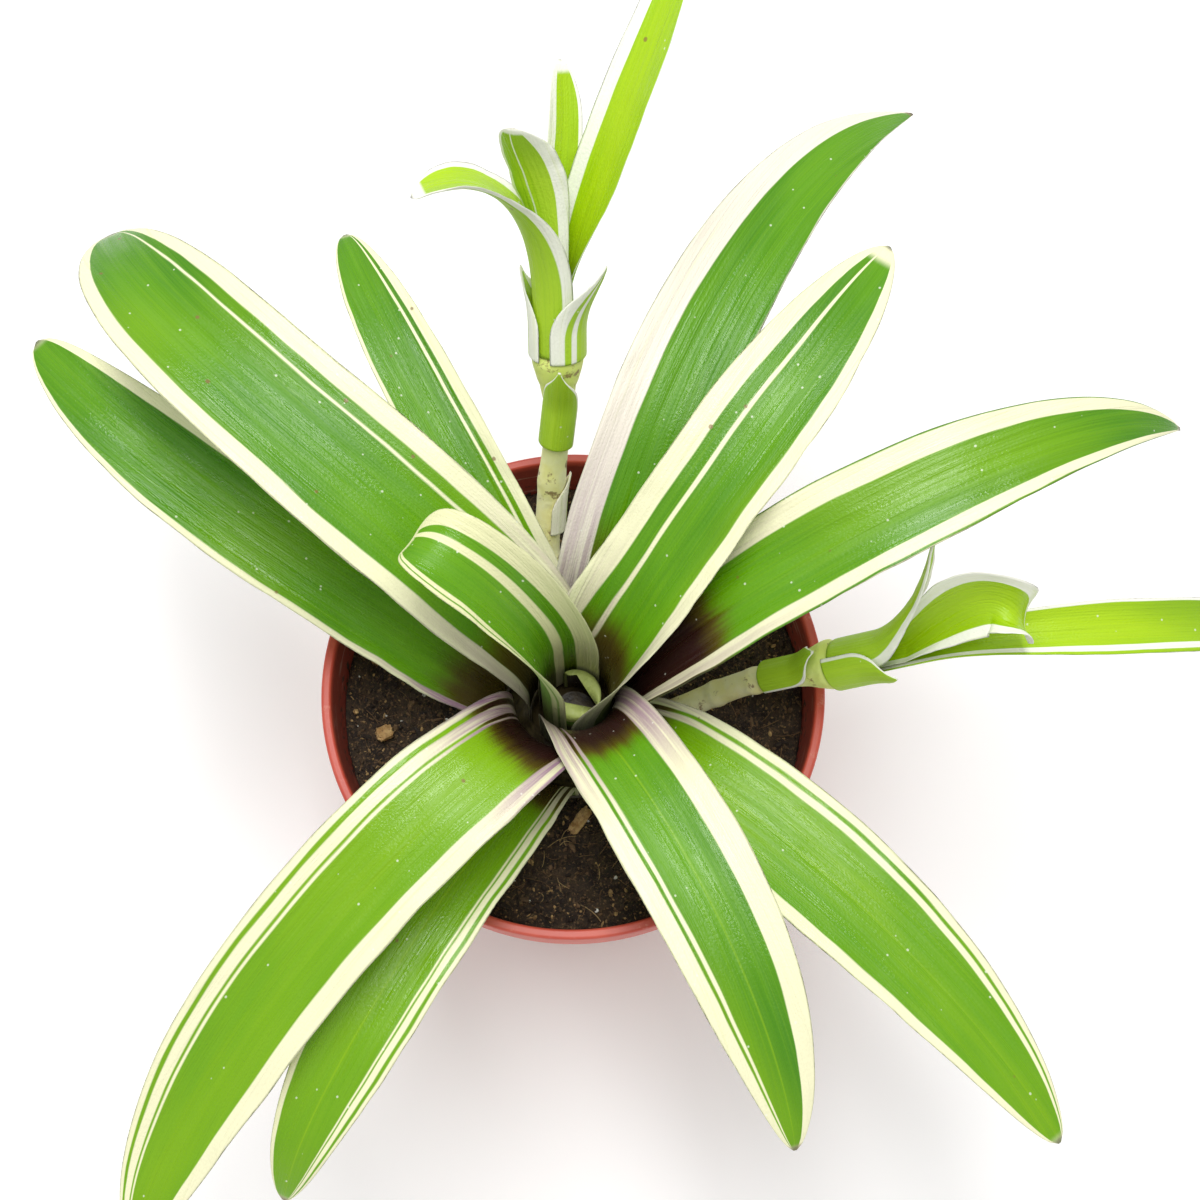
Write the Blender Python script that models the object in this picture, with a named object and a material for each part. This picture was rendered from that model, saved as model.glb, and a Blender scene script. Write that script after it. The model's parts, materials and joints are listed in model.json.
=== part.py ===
"""Potted bromeliad: a rosette of striped strap leaves with two offsets on stolons, in a plastic pot.

Metres, +Z up. The origin is the centre of the pot's flat underside, and -Y is the front.
Every leaf, bract and stolon is a solid of its own, and neighbours keep a small gap.
"""

import math
import random

import bmesh
import bpy
from mathutils import Matrix, Vector

MM = 0.001

# ---- driving sizes: pot ----
POT_RIM_RADIUS = 60 * MM
POT_HEIGHT = 105 * MM
POT_BASE_RADIUS = 43 * MM
POT_WALL = 1.5 * MM
POT_FLOOR = 2.0 * MM
LIP_WIDTH = 2.4 * MM
LIP_ROUNDING = 0.6 * MM
COLLAR_HEIGHT = 14 * MM
COLLAR_STEP = 1.6 * MM
COLLAR_TAPER = 0.8 * MM
BASE_CHAMFER = 1.2 * MM
DRAIN_HOLES = 8
DRAIN_HOLE_RADIUS = 4 * MM
DRAIN_CIRCLE_RADIUS = 30 * MM

# ---- driving sizes: soil ----
HEADSPACE = 12 * MM
SOIL_EDGE_DROP = 1.5 * MM
SOIL_EDGE_WIDTH = 7 * MM
SOIL_EDGE_STEP = 0.1 * MM
CLEARANCE = 0.3 * MM

# ---- driving sizes: rosette ----
ROSETTE_CENTRE = Vector((0.4 * MM, -5.0 * MM, 0))
LEAF_THICKNESS = 0.7 * MM
FIRST_RING = 6.0 * MM
RING_STEP = 1.2 * MM
STEM_CROWN_HEIGHT = 9 * MM
STEM_SLOPE = 0.6
STEM_DEPTH = 6 * MM
STEM_TOP_RADIUS = 4.5 * MM

# ---- driving sizes: offsets ----
STOLON_RADIUS = 3.1 * MM
STOLON_BURIED = 5 * MM
OFFSET_LEAF_THICKNESS = 0.6 * MM
OFFSET_FIRST_RING = 2.2 * MM
OFFSET_RING_STEP = 1.0 * MM
OFFSET_CROWN_HEIGHT = 4 * MM
OFFSET_CROWN_SLOPE = 1.0
OFFSET_OUTER_ORDER = 4
OFFSET_NECK_LENGTH = 7 * MM
STOLON_STRAIGHT = 16 * MM

# Blade shape shared by all leaves, as shares of the free blade's length.
WIDEST_AT = 0.5
BLADE_NARROWING = 0.18
TIP_SHARPNESS = 2.2
TIP_HALF_WIDTH = 0.6 * MM
HANDLE_SHARE = 0.42
LENGTH_SHARE = 1.15
ROLL_SHARE = 0.5
LEAST_CURL = math.radians(4)

# Each row is one leaf. Order counts the sheaths outwards from the middle of the rosette.
# Heading is the compass angle in degrees from +X. Tube is how far the sheath runs straight up,
# lift the pull of the bend above it, reach and tip the end's distance out and height above the
# soil, side its shift to the left and bow the blade's sideways curve, all in mm. Droop is the
# tip's downward angle and roll the blade's turn. Wrap and cup are half the sheath's and half the
# blade's curl in degrees, and spread is the share of the blade over which one becomes the other.
# Taper is the share of the blade where its tip starts to narrow, and point is 0.5 for a round
# tip and more for a pointed one.
# name, order, heading, tube, lift, reach, tip, droop, side, bow, roll, width, wrap, cup, spread, taper, point
ROSETTE_LEAVES = [
    ("leaf_rolled_young", 0, -34, 12, 0.8, 6.1, 24, -85, 0, 0, 0, 30, 150, 150, 1.0, 0.88, 0.3),
    ("leaf_arched_young", 1, 146, 30, 25, 39, 72, 66, 3, -1, 0, 20, 110, 35, 0.70, 0.68, 0.5),
    ("leaf_northeast_upper", 2, 39, 12, 38, 112, 69, 18, 26, -16, -2, 26, 135, 22, 0.40, 0.62, 0.6),
    ("leaf_south", 3, -69, 13, 42, 112, 35, 35, 7, 8, 1, 26, 80, 16, 0.35, 0.50, 0.6),
    ("leaf_northwest", 4, 124, 13, 41, 148, 50, 43, 32, 9, 4, 33, 70, 16, 0.30, 0.72, 0.5),
    ("leaf_east", 5, 8, 15, 36, 141, 58, 49, 32, -2, 10, 25, 60, 18, 0.30, 0.40, 0.8),
    ("leaf_northeast_long", 6, 71, 6, 62, 160, 45, 41, -32, 36, 11, 25, 50, 18, 0.28, 0.45, 0.7),
    ("leaf_southwest_broad", 7, -120, 16, 55, 152, 8, 23, -23, -11, -2, 28, 60, 14, 0.28, 0.68, 0.5),
    ("leaf_southeast", 8, -35, 4, 32, 144, 18, 21, -21, 21, -3, 28, 44, 14, 0.28, 0.55, 0.55),
    ("leaf_north_small", 9, 106, 8, 24, 122, 39, 25, 23, -3, 0, 18, 34, 18, 0.28, 0.66, 0.5),
    ("leaf_west", 10, 159, 4, 8, 150, 37, 13, -32, 30, 0, 26, 34, 14, 0.28, 0.66, 0.5),
    ("leaf_southwest_lower", 11, -115, 7, 21, 128, 5, 53, -11, -3, 0, 22, 28, 14, 0.28, 0.60, 0.6),
]

# The offsets' leaves and crown bracts, in the frame of their own tilted crown.
NORTH_OFFSET_LEAVES = [
    ("north_offset_leaf_long", 0, -50, 6, 16, 33, 91, -49, -6, -11, 3, 15, 85, 25, 0.50, 0.60, 0.5),
    ("north_offset_leaf_inner", 1, 35, 8, 25, 7, 63, -72, -6, 2, -2, 9.5, 85, 35, 0.60, 0.78, 0.5),
    ("north_offset_leaf_middle", 2, 160, 16, 22, 11, 54, -55, -5, 0, 0, 14, 60, 35, 0.60, 0.74, 0.5),
    ("north_offset_leaf_folded", 3, 105, 13, 24, 31, 39, 25, 0, 0, 0, 18, 120, 30, 0.55, 0.68, 0.5),
    ("north_offset_bract_right", 4, -115, 6, 6, 12, 23, -70, 0, 0, 0, 10, 80, 45, 0.85, 0.30, 0.9),
    ("north_offset_bract_left", 4, 70, 7, 5, 8.5, 20, -78, 0, 0, 0, 6, 70, 45, 0.85, 0.30, 0.9),
]
EAST_OFFSET_LEAVES = [
    ("east_offset_leaf_curled", 1, 36, 14, 3, 4, 45, 42, -6, 25, 2, 17, 95, 45, 0.60, 0.70, 0.45),
    ("east_offset_leaf_upright", 3, 137, 11, 6, 26, 39, -30, 2, 2, 4, 9, 100, 50, 0.60, 0.50, 0.7),
    ("east_offset_leaf_long", 2, 8, 21, 23, 86, 75, 4, 3, -5, 0, 13, 70, 25, 0.50, 0.60, 0.5),
    ("east_offset_bract_upper", 4, -110, 7, 5, 8.2, 18, -82, 0, 0, 0, 8, 65, 50, 0.85, 0.30, 0.9),
]

# A stolon's root stands in the soil, in the direction of its azimuth from the stem and with a gap
# to it. The stolon passes its free points and ends in a crown that leans at the given elevation.
# Gaps and points are in mm: points run sideways from the root, and up from the soil.
STOLONS = {
    "north_offset": {
        "root_azimuth": 100.5,
        "root_gap": 7.5,
        "free_points": [(-0.8, 0.8, 15), (-0.9, 7.4, 25), (0.2, 16.4, 36)],
        "crown": (2.2, 36.4, 64),
        "azimuth": 90,
        "elevation": 50,
        "leaves": NORTH_OFFSET_LEAVES,
    },
    "east_offset": {
        "root_azimuth": 7,
        "root_gap": 0,
        "free_points": [(3.8, -0.2, 2.5), (10.3, 1.5, 7), (17.5, 2.4, 13.8)],
        "crown": (36.6, 2.3, 30.6),
        "azimuth": 0,
        "elevation": 40,
        "leaves": EAST_OFFSET_LEAVES,
    },
}

# Small bracts along the stolons: distance back from the crown, heading, length, width and how far
# the tip leans out. The heading is in degrees and the rest in mm.
STOLON_BRACTS = [
    ("north_offset_bract_front", "north_offset", 22, 180, 24, 7, 3.9),
    ("north_offset_bract_lower", "north_offset", 46, -80, 15, 6, 0.7),
    ("east_offset_bract_lower", "east_offset", 19, 175, 20, 8, 4.3),
]

# Proportions of those bracts, as shares of their length or in mm and degrees.
BRACT_TUBE_SHARE = 0.4
BRACT_LIFT_SHARE = 0.2
BRACT_SHAPE = {
    "droop": -80, "side": 0, "bow": 0, "roll": 0,
    "wrap": 85, "cup": 55, "spread": 0.9, "taper": 0.15, "point": 0.9,
}

# Loose pieces on the soil: azimuth, share of the soil's radius, size in mm, turn in degrees.
BARK_CHIPS = [
    ("bark_chip_front", -87, 0.54, (8.5, 3.4, 2.4), 55),
    ("bark_chip_left", 191, 0.83, (5.0, 4.0, 3.0), 20),
    ("bark_chip_back_left", 168, 0.88, (3.6, 3.0, 2.4), 70),
]

CHIP_SEED = 7
CHIP_UNEVENNESS = (0.85, 1.1)
CHIP_FLAT_SHARE = 0.3

# ---- counts ----
POT_STEPS = 56
SOIL_STEPS = 40
DRAIN_STEPS = 12
STEM_STEPS = 32
STOLON_SIDES = 12
STOLON_RINGS = 14
LEAF_ACROSS = 8
LEAF_ALONG = 13
OFFSET_ACROSS = 6
OFFSET_ALONG = 11
BRACT_ALONG = 7
SHARP_ANGLE = math.radians(35)

SOIL_TOP = POT_HEIGHT - HEADSPACE
COLLAR_BOTTOM = POT_HEIGHT - COLLAR_HEIGHT
STEM_RADIUS = FIRST_RING + RING_STEP * (len(ROSETTE_LEAVES) - 1) + LEAF_THICKNESS / 2


# ---- scene, materials and mesh helpers ----
def clear_scene():
    for old in list(bpy.data.objects):
        bpy.data.objects.remove(old, do_unlink=True)


def material(name, colour, roughness, metallic=0.0):
    made = bpy.data.materials.new(name)
    made.use_nodes = True
    shader = made.node_tree.nodes["Principled BSDF"]
    shader.inputs["Base Color"].default_value = (*colour, 1)
    shader.inputs["Roughness"].default_value = roughness
    shader.inputs["Metallic"].default_value = metallic
    return made


def add_object(name, bm, surface):
    """Turns a bmesh into a named object, shaded smooth except at its sharp edges."""
    bmesh.ops.recalc_face_normals(bm, faces=bm.faces)
    mesh = bpy.data.meshes.new(name)
    bm.to_mesh(mesh)
    bm.free()
    mesh.shade_smooth()
    mesh.set_sharp_from_angle(angle=SHARP_ANGLE)
    obj = bpy.data.objects.new(name, mesh)
    bpy.context.collection.objects.link(obj)
    if surface:
        mesh.materials.append(surface)
    return obj


def as_cutter(obj):
    obj.hide_render = True
    obj.display_type = "WIRE"
    return obj


def cut(obj, cutter):
    modifier = obj.modifiers.new("cut_" + cutter.name, "BOOLEAN")
    modifier.operation = "DIFFERENCE"
    modifier.solver = "EXACT"
    modifier.object = cutter


def bridge(bm, lower, upper):
    """Joins two rings of points with quads."""
    count = len(lower)
    for i in range(count):
        j = (i + 1) % count
        bm.faces.new((lower[i], lower[j], upper[j], upper[i]))


def turned(name, profile, steps, surface):
    """Turns an open profile of (radius, height), which starts and ends on the axis."""
    bm = bmesh.new()
    rings = []
    for radius, height in profile[1:-1]:
        angles = [2 * math.pi * i / steps for i in range(steps)]
        rings.append([bm.verts.new((radius * math.cos(a), radius * math.sin(a), height)) for a in angles])
    for lower, upper in zip(rings, rings[1:]):
        bridge(bm, lower, upper)
    for ring, (_, height) in ((rings[0], profile[0]), (rings[-1], profile[-1])):
        pole = bm.verts.new((0, 0, height))
        for i in range(steps):
            bm.faces.new((ring[i], ring[(i + 1) % steps], pole))
    return add_object(name, bm, surface)


def tube(name, stations, sides, surface):
    """A round bar through stations of (centre, direction, radius), with flat ends."""
    bm = bmesh.new()
    rings = []
    across = stations[0][1].orthogonal().normalized()
    for centre, direction, radius in stations:
        across = (across - direction * across.dot(direction)).normalized()
        second = direction.cross(across)
        ring = []
        for i in range(sides):
            angle = 2 * math.pi * i / sides
            offset = across * math.cos(angle) + second * math.sin(angle)
            ring.append(bm.verts.new(centre + offset * radius))
        rings.append(ring)
    for lower, upper in zip(rings, rings[1:]):
        bridge(bm, lower, upper)
    bm.faces.new(rings[0])
    bm.faces.new(rings[-1])
    return add_object(name, bm, surface)


# ---- curves ----
def ease(x):
    x = min(max(x, 0), 1)
    return x * x * (3 - 2 * x)


def bezier(points, t):
    """Position and direction on a cubic curve."""
    a, b, c, d = points
    s = 1 - t
    position = a * s**3 + b * (3 * s * s * t) + c * (3 * s * t * t) + d * t**3
    direction = (b - a) * (3 * s * s) + (c - b) * (6 * s * t) + (d - c) * (3 * t * t)
    return position, direction.normalized()


def through(points, count):
    """Evenly counted stations of (position, direction) on a smooth curve through the points."""
    spans = len(points) - 1
    padded = [points[0] * 2 - points[1]] + points + [points[-1] * 2 - points[-2]]
    stations = []
    for i in range(count + 1):
        along = spans * i / count
        span = min(int(along), spans - 1)
        before, start, end, after = padded[span : span + 4]
        handles = (start, start + (end - before) / 6, end - (after - start) / 6, end)
        stations.append(bezier(handles, along - span))
    return stations


# ---- leaves ----
def blade_half_width(t, width, taper, point):
    """Half the blade's width: widest near the middle, with a rounded tip."""
    body = 1 - BLADE_NARROWING * ((t - WIDEST_AT) / WIDEST_AT) ** 2
    tip = max((t - taper) / (1 - taper), 0)
    rounding = max(1 - tip**TIP_SHARPNESS, 0) ** point
    return max(width / 2 * body * rounding, TIP_HALF_WIDTH), rounding


def leaf_grid(row, ring, foot, across, along):
    """Rows of points on the leaf's middle surface, in the frame of its crown."""
    heading, roll, droop = (math.radians(row[k]) for k in ("heading", "roll", "droop"))
    wrap, cup = (math.radians(row[k]) for k in ("wrap", "cup"))
    out = Vector((math.cos(heading), math.sin(heading), 0))
    left = Vector((-out.y, out.x, 0))
    up = Vector((0, 0, 1))
    base = out * ring + up * foot
    start = base + up * row["tube"] * MM
    end = out * row["reach"] * MM + left * row["side"] * MM + up * row["tip"] * MM
    chord = (end - start).length
    arrival = out * math.cos(droop) - up * math.sin(droop)
    last_handle = end - arrival * chord * HANDLE_SHARE + left * row["bow"] * MM
    curve = (start, start + up * row["lift"] * MM, last_handle, end)
    tube_share = row["tube"] * MM / (row["tube"] * MM + chord * LENGTH_SHARE)
    rows = []
    for i in range(along + 1):
        share = i / along
        t = max((share - tube_share) / (1 - tube_share), 0)
        if share < tube_share:
            middle = base.lerp(start, share / tube_share)
            forward = up
        else:
            middle, forward = bezier(curve, t)
        side = (left - forward * left.dot(forward)).normalized()
        inward = forward.cross(side)
        turn = roll * ease(t / ROLL_SHARE)
        side, inward = (
            side * math.cos(turn) + inward * math.sin(turn),
            inward * math.cos(turn) - side * math.sin(turn),
        )
        opened = ease(t / row["spread"])
        half_width, rounding = blade_half_width(t, row["width"] * MM, row["taper"], row["point"])
        half_width = ring * wrap * (1 - opened) + half_width * opened
        curl = wrap * (1 - opened) + cup * rounding * opened
        curl = max(curl, LEAST_CURL)
        points = []
        for j in range(across + 1):
            angle = curl * (2 * j / across - 1)
            radius = half_width / curl
            points.append(middle + side * radius * math.sin(angle) + inward * radius * (1 - math.cos(angle)))
        rows.append(points)
    return rows


def add_leaf(name, rows, frame, thickness, surface):
    """Skins the rows of points and thickens them evenly to both sides."""
    bm = bmesh.new()
    grid = [[bm.verts.new(frame @ point) for point in points] for points in rows]
    for lower, upper in zip(grid, grid[1:]):
        for j in range(len(lower) - 1):
            bm.faces.new((lower[j], lower[j + 1], upper[j + 1], upper[j]))
    obj = add_object(name, bm, surface)
    solid = obj.modifiers.new("thickness", "SOLIDIFY")
    solid.thickness = thickness
    solid.offset = 0
    solid.use_even_offset = True
    return obj


LEAF_COLUMNS = (
    ("name", "order", "heading", "tube", "lift", "reach", "tip", "droop")
    + ("side", "bow", "roll", "width", "wrap", "cup", "spread", "taper", "point")
)


def leaf_material(name):
    if "bract" in name:
        return material(name, (0.42, 0.50, 0.14), 0.5)
    if "offset" in name:
        return material(name, (0.26, 0.47, 0.04), 0.35)
    return material(name, (0.09, 0.27, 0.02), 0.3)


def add_rosette():
    frame = Matrix.Translation(ROSETTE_CENTRE + Vector((0, 0, SOIL_TOP)))
    for values in ROSETTE_LEAVES:
        row = dict(zip(LEAF_COLUMNS, values))
        ring = FIRST_RING + RING_STEP * row["order"]
        foot = STEM_CROWN_HEIGHT - STEM_SLOPE * (ring - FIRST_RING)
        rows = leaf_grid(row, ring, foot, LEAF_ACROSS, LEAF_ALONG)
        add_leaf(row["name"], rows, frame, LEAF_THICKNESS, leaf_material(row["name"]))


def cone_profile(top_radius, foot_radius, first_ring, height, slope, thickness):
    """Two (radius, height) corners of the cone that the leaf feet stand on."""
    def level(radius):
        return height - slope * (radius - first_ring) - CLEARANCE - slope * thickness / 2

    return (foot_radius, level(foot_radius)), (top_radius, level(top_radius))


def add_stem():
    shoulder, top = cone_profile(
        STEM_TOP_RADIUS, STEM_RADIUS, FIRST_RING, STEM_CROWN_HEIGHT, STEM_SLOPE, LEAF_THICKNESS
    )
    bottom = -STEM_DEPTH
    profile = [(0, bottom), (STEM_RADIUS, bottom), shoulder, top, (0, top[1])]
    stem = turned("stem", profile, STEM_STEPS, material("stem", (0.16, 0.12, 0.05), 0.7))
    stem.location = ROSETTE_CENTRE + Vector((0, 0, SOIL_TOP))


# ---- pot and soil ----
def body_radius(height):
    """Outside radius of the tapered body below the collar."""
    top = POT_RIM_RADIUS - COLLAR_TAPER - COLLAR_STEP
    return POT_BASE_RADIUS + (top - POT_BASE_RADIUS) * height / COLLAR_BOTTOM


def inner_radius(height):
    """Inside radius of the pot, in the body and in the collar."""
    at_collar = body_radius(COLLAR_BOTTOM) - POT_WALL
    if height <= COLLAR_BOTTOM:
        return body_radius(height) - POT_WALL
    at_lip = POT_RIM_RADIUS - LIP_WIDTH
    return at_collar + (at_lip - at_collar) * (height - COLLAR_BOTTOM) / COLLAR_HEIGHT


def add_pot():
    lip_outer = POT_RIM_RADIUS - LIP_ROUNDING
    lip_inner = POT_RIM_RADIUS - LIP_WIDTH + LIP_ROUNDING
    profile = [
        (0, 0),
        (POT_BASE_RADIUS - BASE_CHAMFER, 0),
        (body_radius(BASE_CHAMFER), BASE_CHAMFER),
        (body_radius(COLLAR_BOTTOM), COLLAR_BOTTOM),
        (POT_RIM_RADIUS - COLLAR_TAPER, COLLAR_BOTTOM + COLLAR_STEP / 2),
        (POT_RIM_RADIUS, POT_HEIGHT - LIP_ROUNDING),
        (lip_outer, POT_HEIGHT),
        (lip_inner, POT_HEIGHT),
        (inner_radius(POT_HEIGHT - LIP_ROUNDING), POT_HEIGHT - LIP_ROUNDING),
        (inner_radius(COLLAR_BOTTOM), COLLAR_BOTTOM),
        (inner_radius(POT_FLOOR), POT_FLOOR),
        (0, POT_FLOOR),
    ]
    pot = turned("pot", profile, POT_STEPS, material("pot", (0.50, 0.075, 0.05), 0.4))
    for i in range(DRAIN_HOLES):
        angle = 2 * math.pi * (i + 0.5) / DRAIN_HOLES
        reach = POT_FLOOR * 2
        profile = [(0, -reach), (DRAIN_HOLE_RADIUS, -reach), (DRAIN_HOLE_RADIUS, reach), (0, reach)]
        hole = as_cutter(turned(f"drain_cutter_{i}", profile, DRAIN_STEPS, None))
        hole.location = (DRAIN_CIRCLE_RADIUS * math.cos(angle), DRAIN_CIRCLE_RADIUS * math.sin(angle), 0)
        cut(pot, hole)


def add_soil(cutters):
    bottom = POT_FLOOR + CLEARANCE
    edge = SOIL_TOP - SOIL_EDGE_DROP
    profile = [
        (0, bottom),
        (inner_radius(bottom) - CLEARANCE, bottom),
        (inner_radius(min(COLLAR_BOTTOM, edge)) - CLEARANCE, min(COLLAR_BOTTOM, edge)),
        (inner_radius(edge) - CLEARANCE, edge + SOIL_EDGE_STEP),
        (inner_radius(edge) - CLEARANCE - SOIL_EDGE_WIDTH, SOIL_TOP),
        (0, SOIL_TOP),
    ]
    soil = turned("soil", profile, SOIL_STEPS, material("soil", (0.035, 0.022, 0.014), 0.95))
    for cutter in cutters:
        cut(soil, cutter)


def stem_socket_cutter():
    radius = STEM_RADIUS + CLEARANCE
    depth = -STEM_DEPTH - CLEARANCE
    profile = [(0, depth), (radius, depth), (radius, STEM_DEPTH), (0, STEM_DEPTH)]
    socket = as_cutter(turned("stem_socket_cutter", profile, STEM_STEPS, None))
    socket.location = ROSETTE_CENTRE + Vector((0, 0, SOIL_TOP))
    return socket


def add_bark_chips():
    surface = material("bark", (0.36, 0.22, 0.09), 0.85)
    dice = random.Random(CHIP_SEED)
    radius = inner_radius(SOIL_TOP) - CLEARANCE
    past_stem = ROSETTE_CENTRE.length + STEM_RADIUS + 3 * CLEARANCE
    for name, azimuth, share, size, turn in BARK_CHIPS:
        bm = bmesh.new()
        bmesh.ops.create_icosphere(bm, subdivisions=1, radius=0.5)
        for vert in bm.verts:
            vert.co *= dice.uniform(*CHIP_UNEVENNESS)
            vert.co.z = max(vert.co.z, -CHIP_FLAT_SHARE)
        bmesh.ops.scale(bm, vec=Vector(size) * MM, verts=bm.verts)
        bmesh.ops.rotate(bm, matrix=Matrix.Rotation(math.radians(turn), 3, "Z"), verts=bm.verts)
        lowest = min(vert.co.z for vert in bm.verts)
        chip = add_object(name, bm, surface)
        angle = math.radians(azimuth)
        reach = max(radius * share, past_stem + max(size) / 2 * MM)
        chip.location = Vector((math.cos(angle), math.sin(angle), 0)) * reach
        chip.location.z = SOIL_TOP + CLEARANCE - lowest


# ---- offsets ----
def crown_frame(origin, direction):
    """The frame whose +Z is the crown's axis and whose +Y stays level."""
    level = Vector((-direction.y, direction.x, 0)).normalized()
    outer = level.cross(direction)
    turn = Matrix((outer, level, direction)).transposed()
    return Matrix.Translation(origin) @ turn.to_4x4()


def stolon_route(plan):
    """Stations of (position, direction) from the buried root to the crown."""
    azimuth, elevation = math.radians(plan["azimuth"]), math.radians(plan["elevation"])
    axis = Vector((math.cos(azimuth), math.sin(azimuth), 0)) * math.cos(elevation)
    axis.z = math.sin(elevation)
    root_angle = math.radians(plan["root_azimuth"])
    root_reach = STEM_RADIUS + 2 * CLEARANCE + STOLON_RADIUS + plan["root_gap"] * MM
    root = ROSETTE_CENTRE + Vector((math.cos(root_angle), math.sin(root_angle), 0)) * root_reach
    root.z = SOIL_TOP
    crown = root + Vector(plan["crown"]) * MM
    free = [root + Vector(point) * MM for point in plan["free_points"]]
    foot = root - Vector((0, 0, STOLON_BURIED))
    points = [foot] + free + [crown - axis * STOLON_STRAIGHT, crown - axis * OFFSET_NECK_LENGTH]
    return through(points, STOLON_RINGS), crown, axis


def add_offset(name, plan):
    """One offset: stolon with its crown cone, and the leaves that stand round it."""
    stations, crown, axis = stolon_route(plan)
    foot_radius = OFFSET_FIRST_RING + OFFSET_RING_STEP * OFFSET_OUTER_ORDER + OFFSET_LEAF_THICKNESS / 2
    top_radius = OFFSET_FIRST_RING - OFFSET_LEAF_THICKNESS
    cone = cone_profile(
        top_radius, foot_radius, OFFSET_FIRST_RING, OFFSET_CROWN_HEIGHT, OFFSET_CROWN_SLOPE,
        OFFSET_LEAF_THICKNESS,
    )
    bar = [(position, direction, STOLON_RADIUS) for position, direction in stations]
    bar += [(crown + axis * height, axis, radius) for radius, height in cone]
    tube(name + "_stolon", bar, STOLON_SIDES, material(name + "_stolon", (0.62, 0.60, 0.34), 0.55))
    frame = crown_frame(crown, axis)
    for values in plan["leaves"]:
        row = dict(zip(LEAF_COLUMNS, values))
        ring = OFFSET_FIRST_RING + OFFSET_RING_STEP * row["order"]
        foot = OFFSET_CROWN_HEIGHT - OFFSET_CROWN_SLOPE * (ring - OFFSET_FIRST_RING)
        rows = leaf_grid(row, ring, foot, OFFSET_ACROSS, OFFSET_ALONG)
        add_leaf(row["name"], rows, frame, OFFSET_LEAF_THICKNESS, leaf_material(row["name"]))
    return buried_cutter(name, stations)


def buried_cutter(name, stations):
    """Hollows the soil round the stolon's buried foot."""
    first, direction = stations[0]
    fat = STOLON_RADIUS + CLEARANCE
    bar = [(first - direction * CLEARANCE, direction, fat)]
    bar += [(position, direction, fat) for position, direction in stations[: STOLON_RINGS // 2]]
    return as_cutter(tube(name + "_cutter", bar, STOLON_SIDES, None))


def frame_on_stolon(plan, back):
    """The crown-like frame at a distance back from the crown along the stolon."""
    stations, crown, axis = stolon_route(plan)
    left = back - OFFSET_NECK_LENGTH
    for (position, direction), (before, _) in zip(stations[::-1], stations[-2::-1]):
        step = (position - before).length
        if left <= step:
            return crown_frame(position.lerp(before, left / step), direction)
        left -= step
    return crown_frame(before, direction)


def add_stolon_bracts():
    ring = STOLON_RADIUS + 2 * CLEARANCE + OFFSET_LEAF_THICKNESS / 2
    for name, offset, back, heading, length, width, lean in STOLON_BRACTS:
        row = {
            **BRACT_SHAPE,
            "heading": heading, "tube": length * BRACT_TUBE_SHARE, "lift": length * BRACT_LIFT_SHARE,
            "reach": ring / MM + lean, "tip": length, "width": width,
        }
        frame = frame_on_stolon(STOLONS[offset], back * MM)
        rows = leaf_grid(row, ring, 0, OFFSET_ACROSS, BRACT_ALONG)
        add_leaf(name, rows, frame, OFFSET_LEAF_THICKNESS, leaf_material(name))


clear_scene()
add_pot()
cutters = [stem_socket_cutter()]
for offset_name, offset_plan in STOLONS.items():
    cutters.append(add_offset(offset_name, offset_plan))
add_soil(cutters)
add_stem()
add_rosette()
add_stolon_bracts()
add_bark_chips()
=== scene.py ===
# %% [markdown]
# # A potted bromeliad, leaf by leaf
#
# This notebook dresses a finished model of a potted bromeliad. The model gives the frame: where
# the pot, the soil, the leaves and the two offsets are, and how large they are. Here each of them
# gets its real surface: striped leaves with thin wavy edges, crumbly peat and a plastic pot.
# The frame is loaded first, and its box is kept, so that the looks can be measured against it.

# %% Load the frame
import json
import math
import random

import bmesh
import bpy
from mathutils import Matrix, Vector, noise

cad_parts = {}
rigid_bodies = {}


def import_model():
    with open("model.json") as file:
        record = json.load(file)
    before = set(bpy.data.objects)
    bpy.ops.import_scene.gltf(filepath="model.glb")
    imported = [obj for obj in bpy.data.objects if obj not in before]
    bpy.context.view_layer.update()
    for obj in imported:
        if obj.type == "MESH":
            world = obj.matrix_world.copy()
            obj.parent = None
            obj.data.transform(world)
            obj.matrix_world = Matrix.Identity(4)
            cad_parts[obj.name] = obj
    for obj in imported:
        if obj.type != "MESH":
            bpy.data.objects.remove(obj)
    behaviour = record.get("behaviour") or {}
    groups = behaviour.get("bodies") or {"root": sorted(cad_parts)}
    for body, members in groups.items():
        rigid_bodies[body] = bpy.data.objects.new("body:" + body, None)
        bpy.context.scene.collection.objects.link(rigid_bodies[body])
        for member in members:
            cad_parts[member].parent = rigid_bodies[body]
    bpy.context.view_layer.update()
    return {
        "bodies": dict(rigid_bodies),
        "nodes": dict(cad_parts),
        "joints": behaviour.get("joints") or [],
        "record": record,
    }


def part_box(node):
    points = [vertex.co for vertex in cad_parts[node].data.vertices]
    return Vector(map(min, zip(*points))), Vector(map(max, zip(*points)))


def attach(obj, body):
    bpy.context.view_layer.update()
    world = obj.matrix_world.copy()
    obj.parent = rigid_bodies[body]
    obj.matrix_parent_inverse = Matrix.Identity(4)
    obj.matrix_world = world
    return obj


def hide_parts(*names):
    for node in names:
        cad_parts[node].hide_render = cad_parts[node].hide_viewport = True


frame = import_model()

BODY = "root"
MM = 0.001

# %% [markdown]
# ## Arithmetic on node sockets
#
# Both Geometry Nodes and shader nodes compute with sockets. Wiring each sum by hand hides the
# formula, so one small class wraps a socket and lets Python's own operators add the nodes. An
# expression such as `1 - mask` then reads as it would on paper. Vectors go to Vector Math nodes,
# numbers to Math nodes, and colours are mixed by `blend`.

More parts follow.
